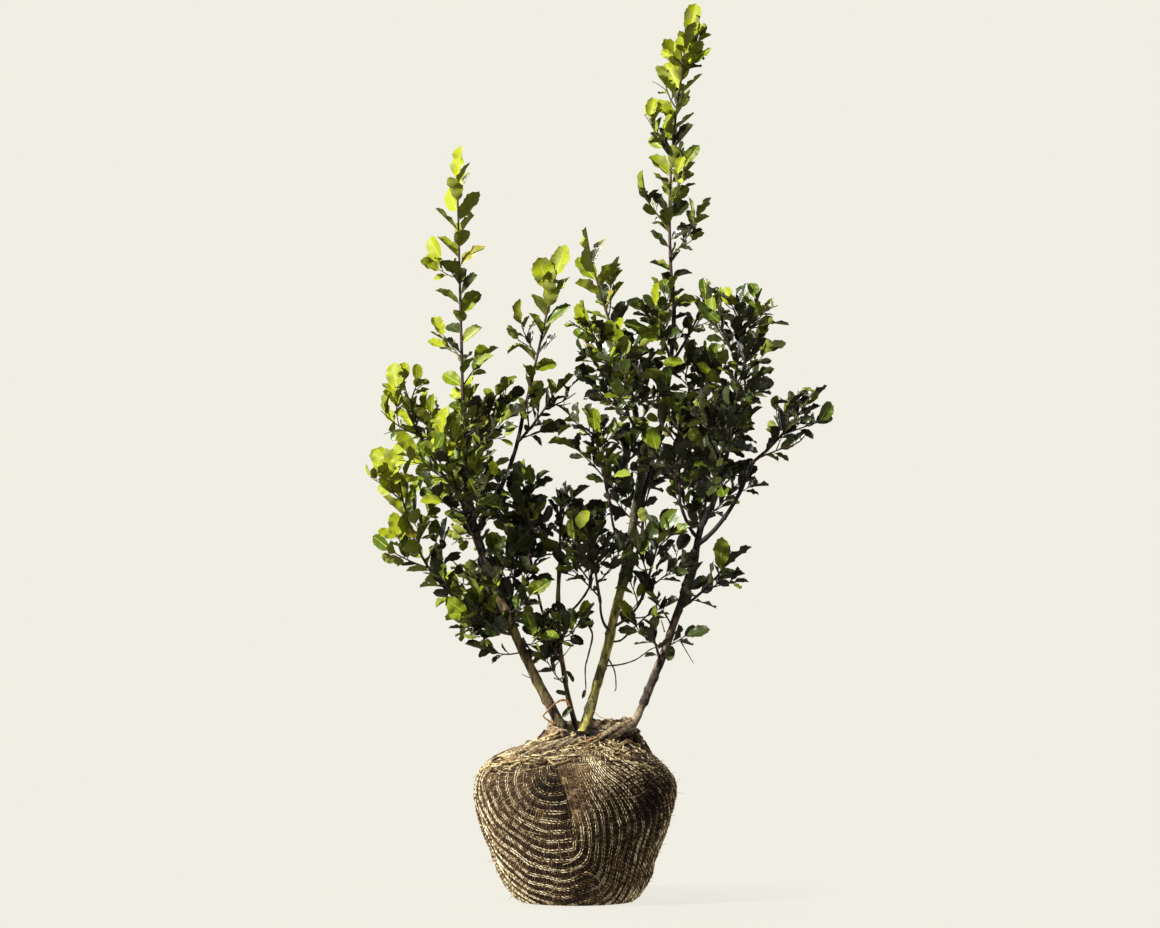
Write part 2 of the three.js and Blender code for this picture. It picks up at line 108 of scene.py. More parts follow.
def unit(vectors: Array) -> Array:
    """Scales vectors to a length of 1."""
    return vectors / np.maximum(np.linalg.norm(vectors, axis=-1, keepdims=True), 1e-9)


def rise(low: float, high: float, value: Any) -> Any:
    """Goes smoothly from 0 where value is low to 1 where it is high."""
    share = np.clip((value - low) / (high - low), 0.0, 1.0)
    return share * share * (3 - 2 * share)


def between(first: Any, second: Any, share: Any) -> Any:
    """The value that lies a share of the way from first to second."""
    return first + (second - first) * share


def turned(vector: Array, axis: Array, angle: float) -> Array:
    """Turns a vector about an axis of length 1."""
    lengthwise = axis * np.dot(axis, vector) * (1 - math.cos(angle))
    return vector * math.cos(angle) + np.cross(axis, vector) * math.sin(angle) + lengthwise


def turned_aside(direction: Array, angle: float) -> Array:
    """A direction at a right angle to another, turned about it by an angle."""
    level = UP if abs(direction[2]) < 0.9 else ACROSS
    return turned(unit(np.cross(direction, level)), direction, angle)


def ripple(points: Array, size: float, seed: int) -> Array:
    """An even, random relief with no images or tables: a few waves that cross each other.

    Args:
        points: where the relief is wanted, one point a row.
        size: the width of a bump.
        seed: which relief of its kind.

    Returns:
        Heights from about -1 to 1, one for each point.
    """
    count = 7
    chance = np.random.default_rng(seed)
    waves = unit(chance.normal(size=(count, points.shape[-1])))
    waves = waves * chance.uniform(0.6, 1.5, (count, 1)) * math.pi / size
    phases = chance.uniform(0, 2 * math.pi, count)
    return np.sin(points @ waves.T + phases).mean(axis=-1) * 1.9


class Chance:
    """The same stream of numbers from 0 to 1 as the part's own source draws."""

    def __init__(self, seed: int) -> None:
        """Starts the stream at a seed."""
        self.state = seed & 0xFFFFFFFF

    def __call__(self) -> float:
        """Draws the next number.

        Returns:
            The number.
        """
        self.state = (self.state + 0x6D2B79F5) & 0xFFFFFFFF
        mixed = ((self.state ^ (self.state >> 15)) * (self.state | 1)) & 0xFFFFFFFF
        mixed ^= (mixed + (((mixed ^ (mixed >> 7)) * (mixed | 61)) & 0xFFFFFFFF)) & 0xFFFFFFFF
        return ((mixed ^ (mixed >> 14)) & 0xFFFFFFFF) / 4294967296

    def within(self, low: float, high: float) -> float:
        """Draws a number from low to high."""
        return between(low, high, self())


# Materials


def linear(colour: str) -> tuple[float, float, float, float]:
    """Turns a colour into the light values that a shader takes.

    Args:
        colour: the colour, written as rrggbb.

    Returns:
        Its red, green, blue and opacity.
    """
    parts = [int(colour[place : place + 2], 16) / 255 for place in (0, 2, 4)]
    light = [part / 12.92 if part <= 0.04045 else ((part + 0.055) / 1.055) ** 2.4 for part in parts]
    return (*light, 1.0)


class Value:
    """A number that changes over a surface, on which sums can be written."""

    def __init__(self, shader: "Shader", socket: bpy.types.NodeSocket) -> None:
        """Wraps a socket of a shader's node."""
        self.shader = shader
        self.socket = socket

    def _sum(self, operation: str, first: Any, second: Any) -> "Value":
        """Adds the Math node of one sum."""
        return self.shader.value("ShaderNodeMath", {"operation": operation}, {0: first, 1: second})

    def __add__(self, other: Any) -> "Value":
        """self + other."""
        return self._sum("ADD", self, other)

    def __radd__(self, other: Any) -> "Value":
        """other + self."""
        return self._sum("ADD", other, self)

    def __sub__(self, other: Any) -> "Value":
        """self - other."""
        return self._sum("SUBTRACT", self, other)

    def __rsub__(self, other: Any) -> "Value":
        """other - self."""
        return self._sum("SUBTRACT", other, self)

    def __mul__(self, other: Any) -> "Value":
        """self * other."""
        return self._sum("MULTIPLY", self, other)

    def __rmul__(self, other: Any) -> "Value":
        """other * self."""
        return self._sum("MULTIPLY", other, self)

    def between(self, low: float, high: float) -> "Value":
        """Spreads the part of the value from low to high over 0 to 1, with soft ends."""
        inputs = {"Value": self, "From Min": low, "From Max": high}
        return self.shader.value("ShaderNodeMapRange", {"interpolation_type": "SMOOTHSTEP"}, inputs)


class Shader:
    """A material that is built up one node at a time."""

    def __init__(self, name: str) -> None:
        """Starts a material with no nodes.

        Args:
            name: its name.
        """
        self.material = bpy.data.materials.new(name)
        self.material.use_nodes = True
        self.tree = self.material.node_tree
        self.tree.nodes.clear()

    def node(self, kind: str, settings: Settings, inputs: Inputs) -> bpy.types.Node:
        """Adds any node.

        Args:
            kind: Blender's name of the node type.
            settings: its settings, which are set first; stops are a ramp's places and colours.
            inputs: a value or a link for each socket, by the socket's name or number.

        Returns:
            The node.
        """
        made = self.tree.nodes.new(kind)
        for name, setting in settings.items():
            if name != "stops":
                setattr(made, name, setting)
                continue
            ramp = made.color_ramp
            while len(ramp.elements) < len(setting):
                ramp.elements.new(1.0)
            for element, (place, colour) in zip(ramp.elements, setting):
                element.position = place
                element.color = linear(colour)
        for name, given in inputs.items():
            socket = given.socket if isinstance(given, Value) else given
            if isinstance(socket, bpy.types.NodeSocket):
                self.tree.links.new(socket, made.inputs[name])
            else:
                made.inputs[name].default_value = socket
        return made

    def value(self, kind: str, settings: Settings, inputs: Inputs, output: int | str = 0) -> Value:
        """Adds a node and wraps one of its outputs."""
        return Value(self, self.node(kind, settings, inputs).outputs[output])

    def noise(self, scale: float, detail: float, stretch: Triple = (1.0, 1.0, 1.0)) -> Value:
        """Cloudy noise fixed to the piece.

        Args:
            scale: how many clouds lie in a metre.
            detail: how many finer layers it has.
            stretch: how much denser it is along each axis.

        Returns:
            The noise, from 0 to 1.
        """
        place = self.node("ShaderNodeTexCoord", {}, {}).outputs["Object"]
        mapped = self.node("ShaderNodeMapping", {}, {"Vector": place, "Scale": stretch}).outputs[0]
        return self.value("ShaderNodeTexNoise", {}, {"Vector": mapped, "Scale": scale, "Detail": detail})

    def tone(self) -> Value:
        """The number that a mesh's maker stored at each of its points; on the bark and the ball it holds
        painted light and shade too.
        """
        return self.value("ShaderNodeAttribute", {"attribute_name": "tone"}, {}, "Fac")

    def ramp(self, factor: Value, *stops: tuple[float, str]) -> Value:
        """A colour picked from a row of stops by a factor."""
        return self.value("ShaderNodeValToRGB", {"stops": stops}, {0: factor})

    def blend(self, factor: Value, first: Any, second: Any) -> Value:
        """Goes from one colour to another with a factor."""
        inputs = {0: factor, 6: first, 7: second}
        return self.value("ShaderNodeMix", {"data_type": "RGBA"}, inputs, 2)

    def bump(self, height: Value, distance: float, strength: float) -> Value:
        """A fine relief of the surface, with its depth in metres."""
        inputs = {"Height": height, "Distance": distance, "Strength": strength}
        return self.value("ShaderNodeBump", {}, inputs)

    def finish(self, inputs: Inputs) -> bpy.types.Material:
        """Joins the one surface shader to the output.

        Args:
            inputs: the values and links of its sockets.

        Returns:
            The finished material.
        """
        surface = self.node("ShaderNodeBsdfPrincipled", {}, inputs)
        self.node("ShaderNodeOutputMaterial", {}, {"Surface": surface.outputs[0]})
        return self.material


@dataclass(frozen=True)
class LeafFinish:
    """A waxy leaf's face: one even colour with a fine grain."""

    name: str
    colour: str
    roughness: float
    gloss: float

    def make(self) -> bpy.types.Material:
        """Builds the material.

        Returns:
            The material.
        """
        shader = Shader(self.name)
        grain = shader.noise(700, 2)
        return shader.finish(
            {
                "Base Color": linear(self.colour),
                "Roughness": grain * 0.16 + (self.roughness - 0.08),
                "Specular IOR Level": self.gloss,
                "Normal": shader.bump(shader.noise(260, 3), 0.0006, 0.55),
            }
        )


@dataclass(frozen=True)
class BarkFinish:
    """Bark with long streaks, patches of another shade and small pale warts."""

    name: str
    dark: str
    main: str
    pale: str
    moss: str
    mossy: float

    def make(self) -> bpy.types.Material:
        """Builds the material.

        Returns:
            The material.
        """
        shader = Shader(self.name)
        streaks = shader.noise(300, 6, (1.0, 1.0, 0.3))
        patches = shader.noise(38, 4)
        warts = shader.noise(620, 1).between(0.62, 0.72)
        shade = streaks * 0.6 + shader.tone() * 0.4
        ground = shader.ramp(shade, (0.34, self.dark), (0.5, self.main), (0.66, self.pale))
        covered = patches.between(0.62 - self.mossy, 0.78 - self.mossy)
        mossed = shader.blend(covered, ground, linear(self.moss))
        return shader.finish(
            {
                "Base Color": shader.blend(warts * 0.7, mossed, linear(self.pale)),
                "Roughness": patches * 0.2 + 0.66,
                "Normal": shader.bump(streaks + warts * 0.6, 0.0009, 0.8),
            }
        )


@dataclass(frozen=True)
class FibreFinish:
    """Coarse plant fibre such as jute: dark to pale by its grain and by the tone, which holds painted
    light.
    """

    name: str
    dark: str
    main: str
    pale: str
    grain: float
    relief: float = 0.0008

    def make(self) -> bpy.types.Material:
        """Builds the material.

        Returns:
            The material.
        """
        shader = Shader(self.name)
        fibres = shader.noise(self.grain, 4)
        blotches = shader.noise(26, 3)
        shade = fibres.between(0.3, 0.7) * 0.3 + blotches * 0.15 + shader.tone() * 0.62 - 0.05
        return shader.finish(
            {
                "Base Color": shader.ramp(shade, (0.3, self.dark), (0.55, self.main), (0.82, self.pale)),
                "Roughness": fibres * 0.15 + 0.82,
                "Specular IOR Level": 0.2,
                "Normal": shader.bump(fibres, self.relief, 0.7),
            }
        )


# Leaf colours: young leaves are paler and old ones darker, and these are also lit and shaded copies of one
# leaf, painted light and shade. The lime face and the next palest stand partly for leaves that the key
# light falls on and shines through, the deep and dark ones partly for leaves in shade. The undersides and
# ribs each come in a pale copy and a shaded copy.
LIME = LeafFinish("lime leaf", "949d14", 0.5, 0.2)
FRESH = LeafFinish("fresh leaf", "76860f", 0.44, 0.28)
MID = LeafFinish("green leaf", "506211", 0.36, 0.42)
DEEP = LeafFinish("deep green leaf", "384117", 0.28, 0.55)
DARK = LeafFinish("shaded leaf", "2a2b15", 0.26, 0.55)
BRONZE = LeafFinish("bronzed leaf", "8d8426", 0.42, 0.4)
UNDERSIDE = LeafFinish("leaf underside", "838735", 0.62, 0.2)
SHADED_UNDERSIDE = LeafFinish("shaded leaf underside", "403f27", 0.6, 0.25)
RIB = LeafFinish("leaf rib", "bbb94a", 0.5, 0.3)
DARK_RIB = LeafFinish("dark leaf rib", "50562a", 0.45, 0.35)
ODD_LEAF = LeafFinish("odd dark leaf", "484c24", 0.5, 0.35)


class Bark(Enum):
    """The barks of the holly's limbs."""

    BROWN = BarkFinish("olive brown bark", "1e170f", "655332", "ab955e", "6f6a35", 0.1)
    # Painted light, in part: this bark's colours are set paler to make up for the shade that the crown and
    # the low shoots cast on the middle of the centre stem.
    OLIVE = BarkFinish("yellow green bark", "3a3418", "9e933c", "d8cc74", "665c32", 0.04)
    GREY = BarkFinish("grey brown bark", "1d1511", "4f3f30", "9c8767", "655a3d", 0.0)
    TWIG = BarkFinish("dark twig bark", "1d1313", "4a322c", "79604f", "3c3822", -0.1)
    YOUNG = BarkFinish("young green bark", "2c2e14", "5d5f28", "8d8e48", "4a3428", 0.05)
    DRIED = BarkFinish("dried stalk", "3a2714", "93683a", "cda467", "5c4a28", -0.05)


SKIN = FibreFinish("soil and jute skin", "130c09", "4b3625", "a88a64", 420, 0.0018)
YARN = FibreFinish("bleached yarn", "33241b", "967c51", "f0e4bf", 260)
STRAW = FibreFinish("straw", "2a1d16", "8d7249", "ebdcab", 300)
CROSS = FibreFinish("brown jute threads", "1d130f", "6c5138", "c1a279", 360)
SACKING = FibreFinish("old sacking", "1f1612", "75634b", "c0ac86", 340, 0.0014)
CRUMBS = FibreFinish("dark soil", "0d0908", "2a1f19", "57432f", 500, 0.002)


# Meshes


@dataclass
class Sheaf:
    """Many small shapes that are joined into one mesh."""

    name: str
    points: list[Array] = field(default_factory=list)
    faces: list[Array] = field(default_factory=list)
    tones: list[Array] = field(default_factory=list)
    count: int = 0

    def add(self, points: Array, faces: Sequence[Array], tone: Any = 0.5) -> None:
        """Adds a shape.

        Args:
            points: its points, one a row.
            faces: its faces as corner numbers, in an array for each number of corners.
            tone: how pale it is, as one number or a number for each point.
        """
        self.points.append(points)
        self.faces.extend(corners + self.count for corners in faces if len(corners))
        self.tones.append(np.broadcast_to(tone, len(points)))
        self.count += len(points)

    def add_tube(
        self,
        path: Array,
        radii: Any,
        sides: int,
        tone: Any = 0.5,
        normals: Array | None = None,
        ends: float = 0.5,
    ) -> None:
        """Adds a closed tube; ends is how pale its two ends are, where tone is more than one number."""
        points, faces = tube(path, radii, sides, normals)
        self.add(points, faces, np.append(tone, [ends, ends]) if np.ndim(tone) else tone)

    def make(self, material: bpy.types.Material, slot: str, nodes: Sequence[str] = ()) -> None:
        """Makes the mesh and ties it to the part.

        Args:
            material: its finish.
            slot: the name of the record's slot for the finish; it is not used.
            nodes: the CAD nodes that it stands for.
        """
        points = (np.concatenate(self.points) * MM).astype(np.float32)
        corners = np.concatenate([part.ravel() for part in self.faces]).astype(np.int32)
        totals = np.concatenate([np.full(len(part), part.shape[1]) for part in self.faces])
        starts = (np.cumsum(totals) - totals).astype(np.int32)
        mesh = bpy.data.meshes.new(self.name)
        mesh.vertices.add(len(points))
        mesh.vertices.foreach_set("co", points.ravel())
        mesh.loops.add(len(corners))
        mesh.loops.foreach_set("vertex_index", corners)
        mesh.polygons.add(len(totals))
        mesh.polygons.foreach_set("loop_start", starts)
        mesh.update(calc_edges=True)
        mesh.validate()
        tones = mesh.attributes.new("tone", "FLOAT", "POINT")
        tones.data.foreach_set("value", np.concatenate(self.tones).astype(np.float32))
        mesh.shade_smooth()
        mesh.materials.append(material)
        piece = bpy.data.objects.new(self.name, mesh)
        bpy.context.scene.collection.objects.link(piece)
        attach(piece, "root")
        if nodes:
            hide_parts(*nodes)
        LOG.info("%s: %d triangles", self.name, int((totals - 2).sum()))


def ring_faces(rings: int, sides: int) -> Array:
    """Lays the four-cornered faces of a tube of rings, with its outside facing out.

    Args:
        rings: how many rings it has.
        sides: how many points each has.

    Returns:
        The faces.
    """
    here = np.arange((rings - 1) * sides)
    after = here - here % sides + (here + 1) % sides
    return np.stack([here, after, after + sides, here + sides], axis=-1)


def caps(rings: int, sides: int) -> list[Array]:
    """Lays the triangles that close a tube's ends, round two points that are stored after its rings.

    Args:
        rings: how many rings it has.
        sides: how many points each has.

    Returns:
        The faces of the foot and those of the tip.
    """
    ring, last, top = np.arange(sides), rings * sides, (rings - 1) * sides
    after = (ring + 1) % sides
    foot = np.stack([np.full(sides, last), after, ring], axis=1)
    return [foot, np.stack([np.full(sides, last + 1), ring + top, after + top], axis=1)]


def sheet_faces(rows: int, columns: int) -> Array:
    """The four-cornered faces of a grid of points, stored row by row."""
    here = (np.arange(rows - 1)[:, None] * columns + np.arange(columns - 1)).ravel()
    return np.stack([here, here + 1, here + columns + 1, here + columns], axis=-1)


def along(points: Array) -> Array:
    """The direction of a path at each of its points."""
    return unit(np.gradient(points, axis=0))


def steady_normals(points: Array, start: Array | None = None) -> Array:
    """Finds directions aside from a path that don't twist about it.

    Args:
        points: the path.
        start: the first of the directions, where it matters.

    Returns:
        A direction of length 1 for each point.
    """
    tangents = along(points)
    normal = turned_aside(tangents[0], 0.0) if start is None else start
    normals = []
    for tangent in tangents:
        normal = unit(normal - tangent * np.dot(tangent, normal))
        normals.append(normal)
    return np.array(normals)


def tube(points: Array, radii: Any, sides: int, normals: Array | None = None) -> tuple[Array, list[Array]]:
    """Shapes a closed tube along a path.

    Args:
        points: the path.
        radii: its radius, as one number, a number for each point or one for each side of each point.
        sides: how many sides it has.
        normals: a direction aside for each point.

    Returns:
        The tube's points and its faces.
    """
    if normals is None:
        normals = steady_normals(points)
    others = np.cross(along(points), normals)
    angles = np.arange(sides)[None, :, None] * 2 * math.pi / sides
    wide = np.asarray(radii, float)
    wide = np.broadcast_to(wide if wide.ndim == 2 else wide.reshape(-1, 1), (len(points), sides))
    ring = normals[:, None] * np.cos(angles) + others[:, None] * np.sin(angles)
    skin = (points[:, None] + ring * wide[..., None]).reshape(-1, 3)
    faces = [ring_faces(len(points), sides), *caps(len(points), sides)]
    return np.vstack([skin, points[:1], points[-1:]]), faces


def bow_at(start: Array, tip: Array, bow: Array, share: Any) -> Array:
    """Points at shares of a path from start to tip whose middle is moved aside by bow."""
    share = np.atleast_1d(share)[:, None]
    return start * (1 - share) + tip * share + 4 * bow * share * (1 - share)


def bowed(start: Array, tip: Array, bow: Array, steps: int) -> Array:
    """A path in even steps from start to tip whose middle is moved aside by bow."""
    return bow_at(start, tip, bow, np.linspace(0, 1, steps + 1))


def smooth_path(knots: Array, steps: int) -> Array:
    """Lays a smooth path through knots.

    Args:
        knots: the points that it runs through.
        steps: how many steps it has between two of them.

    Returns:
        The path.
    """
    padded = np.vstack([knots[:1], knots, knots[-1:]])
    t = np.linspace(0, 1, steps, endpoint=False)[:, None]
    pieces = []
    for before, first, second, after in zip(padded, padded[1:], padded[2:], padded[3:]):
        slope_in, slope_out = (second - before) / 2, (after - first) / 2
        bend = 2 * first - 2 * second + slope_in + slope_out
        sweep = -3 * first + 3 * second - 2 * slope_in - slope_out
        pieces.append(bend * t**3 + sweep * t**2 + slope_in * t + first)
    return np.vstack([*pieces, knots[-1:]])


# Limbs


@dataclass(frozen=True)
class LimbSize:
    """Where a stem or bough runs and its radius at both ends.

    A bough grows from a share of the way along its parent. A stem has no parent, but a foot on the soil.
    """

    name: str
    parent: str
    at: float
    tip: Triple
    bow: Triple
    base: float
    end: float
    bark: Bark = Bark.TWIG
    foot: Pair | None = None


LIMBS = (
    LimbSize("stem_left", "", 0, (-154, -46, 566), (-12, 0, 0), 7.4, 5, Bark.BROWN, (-16, -8)),
    LimbSize("stem_slender", "", 0, (-22, 42, 477), (-13, 4, 0), 3.9, 2.9, Bark.BROWN, (3, 18)),
    LimbSize("stem_centre", "", 0, (94, 25, 617), (9, 0, 0), 7.2, 5.2, Bark.OLIVE, (10, -3)),
    LimbSize("stem_right", "", 0, (175, -30, 529), (10, 0, 0), 6.2, 4.6, Bark.GREY, (76, 4)),
    LimbSize("leader_left", "stem_left", 1, (-157, -52, 690), (3, 0, 0), 4.6, 3.6, Bark.GREY),
    LimbSize("leader_centre", "stem_centre", 1, (59, -15, 774), (5, 0, 0), 4.4, 3.2, Bark.GREY),
    LimbSize("leader_right", "stem_centre", 0.78, (138, 42, 838), (14, 10, 0), 4.2, 3, Bark.GREY),
    LimbSize("bough_left_high", "leader_left", 0.12, (-196, -76, 618), (-6, -4, -5), 3, 2.3),
    LimbSize("bough_left_low", "stem_left", 0.46, (-152, -48, 416), (-6, -4, -8), 3.2, 2.4),
    LimbSize("bough_left_front", "stem_left", 0.62, (-134, -86, 492), (0, -8, -8), 3, 2.3),
    LimbSize("bough_left_back", "stem_left", 0.56, (-132, 26, 488), (0, 8, -8), 3, 2.3),
    LimbSize("bough_middle", "stem_left", 0.86, (-74, -6, 680), (8, 4, -8), 3.4, 2.6),
    LimbSize("bough_slender_left", "stem_slender", 0.45, (-54, 12, 434), (-3, 0, -4), 2.4, 2),
    LimbSize("bough_slender_right", "stem_slender", 0.66, (20, 62, 440), (3, 0, -4), 2.3, 1.9),
    LimbSize("bough_centre_low", "stem_centre", 0.38, (34, -28, 420), (-4, -6, -4), 2.4, 2),
    LimbSize("bough_centre_left", "stem_centre", 0.66, (48, -14, 556), (-5, -2, -6), 2.5, 2),
    LimbSize("bough_centre_back", "stem_centre", 0.5, (94, 72, 512), (0, 8, -8), 3, 2.3),
    LimbSize("bough_centre_right", "stem_centre", 0.4, (92, -24, 424), (4, -3, -4), 2.4, 1.9),
    LimbSize("bough_right_inner", "stem_right", 0.93, (144, -48, 560), (-2, -2, -4), 2.6, 2.1),
    LimbSize("bough_right_up", "stem_right", 1, (214, -12, 640), (4, 2, -6), 4, 3),
    LimbSize("bough_right_out", "stem_right", 0.9, (244, -58, 616), (6, -2, -12), 3.4, 2.6),
    LimbSize("bough_right_back", "stem_right", 0.66, (172, 34, 496), (4, 8, -8), 3, 2.3),
)


@dataclass
class Limb:
    """A stem or bough with its bark.

    One whose foot is under slim in radius is drawn slimmer. Grey bark is peeled off below the height peel.
    """

    size: LimbSize
    start: Array
    step: float = 4.0
    flare: float = 0.25
    scars: float = 34.0
    slim: float = 2.6
    slimmer: float = 0.82
    peel: float = 277.0

    def at(self, share: Any) -> Array:
        """The points of its middle line at shares of its length."""
        return bow_at(self.start, np.array(self.size.tip), np.array(self.size.bow), share)

    def radius(self, share: Any) -> Any:
        """How thick it is there, with no relief."""
        return between(self.size.base, self.size.end, share)

    def build(self, seed: int) -> Sheaf:
        """Builds its skin with ridges, leaf scars and the swellings above them.

        Args:
            seed: which relief it gets.

        Returns:
            The skin.
        """
        rough = self.at(np.linspace(0, 1, 9))
        length = float(np.linalg.norm(np.diff(rough, axis=0), axis=1).sum())
        steps = max(14, int(length / self.step))
        sides = 16 if self.size.foot else 10
        share = np.linspace(0, 1, steps + 1)
        reached = share * length
        chance = Chance(7000 + seed)
        centre = self.at(share)
        thick = self.radius(share) * (self.slimmer if self.size.base < self.slim else 1.0)
        sways = [ripple(reached[:, None], 46, seed), ripple(reached[:, None], 46, seed + 50), 0 * reached]
        centre = centre + np.stack(sways, axis=1) * (0.16 * thick * np.sin(math.pi * share))[:, None]
        angles = np.arange(sides) * 2 * math.pi / sides
        lengthwise = reached[:, None]
        round_it = np.broadcast_arrays(np.cos(angles) * 6, np.sin(angles) * 6, lengthwise * 0.25)
        round_it = np.stack(round_it, axis=-1)
        relief = 1 + 0.07 * ripple(round_it, 3.2, seed + 9) + 0.05 * ripple(round_it * 0.4, 3.0, seed + 19)
        height = centre[:, 2]
        # Painted shade: the bark is darkened high up, where the crown shades it. It is also darkened
        # towards the foot, below about 330 mm.
        shaded = 0.9 * rise(410, 530, height) + 0.3 * rise(330, 270, height)
        tone = 0.55 + 0.38 * ripple(round_it, 5.0, seed + 29) - shaded[:, None]
        place = chance.within(8, 20)
        facing = chance() * 2 * math.pi
        while place < length - 8:
            nearby = np.exp(-(((lengthwise - place) / 3.4) ** 2))
            faced = np.cos((angles - facing) / 2)[None, :] ** 2
            relief = relief + nearby * (0.07 + 0.26 * faced**3)
            tone = tone - 0.4 * np.exp(-(((lengthwise - place + 4) / 1.8) ** 2)) * faced**2
            place += chance.within(0.5, 1.5) * self.scars
            facing += GOLDEN
        if self.size.foot:
            relief = relief * (1 + self.flare * np.exp(-reached / 16))[:, None]
        if self.size.bark is Bark.GREY:
            peeled = rise(self.peel, self.peel - 4, height)[:, None]
            edge = np.exp(-(((height - self.peel - 2) / 3) ** 2))[:, None]
            relief = relief * (1 - 0.17 * peeled) + 0.14 * edge
            tone = tone + 0.55 * peeled
        made = Sheaf(f"bark_{self.size.name}")
        made.add_tube(centre, thick[:, None] * relief, sides, tone)
        return made


class Limbs:
    """All stems and boughs by name."""

    def __init__(self) -> None:
        """Places each limb on the one that it grows from."""
        self.all: dict[str, Limb] = {}
        for size in LIMBS:
            if size.foot:
                foot = np.array([*size.foot, SOIL])
                start = foot - 12 * unit(np.array(size.tip) - foot)
            else:
                start = self.fork(size.parent, size.at)
            self.all[size.name] = Limb(size, start)
        share = np.linspace(0, 1, 26)
        self.samples = np.vstack([limb.at(share) for limb in self.all.values()])
        self.radii = np.concatenate([limb.radius(share) for limb in self.all.values()])

    def fork(self, parent: str, at: float) -> Array:
        """The point where something grows from a limb, which is never quite at its tip."""
        return self.all[parent].at(min(at, 0.98))[0]

    def crowding(self, points: Array) -> float:
        """How far the nearest limb's skin is from any of some points."""
        gaps = np.linalg.norm(points[:, None] - self.samples[None], axis=-1) - self.radii
        return float(gaps.min())

    def make(self) -> None:
        """Makes each limb's bark."""
        finishes = {bark: bark.value.make() for bark in Bark}
        slots = {Bark.OLIVE: "bark_olive", Bark.TWIG: "twig"}
        for seed, (name, limb) in enumerate(self.all.items()):
            bark = limb.size.bark
            limb.build(seed).make(finishes[bark], slots.get(bark, "bark_brown"), [name])


# Foliage


@dataclass(frozen=True)
class MassSize:
    """One mass of foliage: the limb that it grows from, its furthest point and its spread.

    The share of young growth, from 0 to 1, says how much of it is young and pale, and also how much painted
    light its leaves get where the key light falls; open says how far apart its leaves stand. Where open is
    SPIRE or more, it is a free shoot with few side twigs and large leaves. Bow bends its shoot.
    """

    name: str
    parent: str
    at: float
    tip: Triple
    spread: float
    fresh_and_lit: float = 0.3
    open: float = 1.0
    bow: Triple | None = None


@dataclass(frozen=True)
class LowShoot:
    """A short leafy shoot below the masses: the limb that it grows from and its tip."""

    parent: str
    at: float
    tip: Triple


SPIRE = 1.26

LOW_SHOOTS = (
    LowShoot("stem_left", 0.36, (-118, -34, 352)),
    LowShoot("stem_left", 0.4, (-52, -52, 366)),
    LowShoot("stem_left", 0.46, (-112, -66, 410)),
    LowShoot("stem_left", 0.52, (-62, -74, 432)),
    LowShoot("stem_left", 0.6, (-112, -84, 452)),
    LowShoot("stem_left", 0.68, (-84, -82, 498)),
    LowShoot("stem_left", 0.76, (-138, -96, 516)),
    LowShoot("stem_slender", 0.3, (-40, -8, 336)),
    LowShoot("stem_slender", 0.56, (6, -20, 396)),
    LowShoot("bough_centre_right", 0.45, (112, -32, 408)),
    LowShoot("bough_centre_right", 0.8, (76, -40, 446)),
    LowShoot("stem_right", 0.42, (80, -14, 390)),
    LowShoot("stem_right", 0.43, (152, -26, 372)),
    LowShoot("stem_right", 0.52, (106, -24, 430)),
)
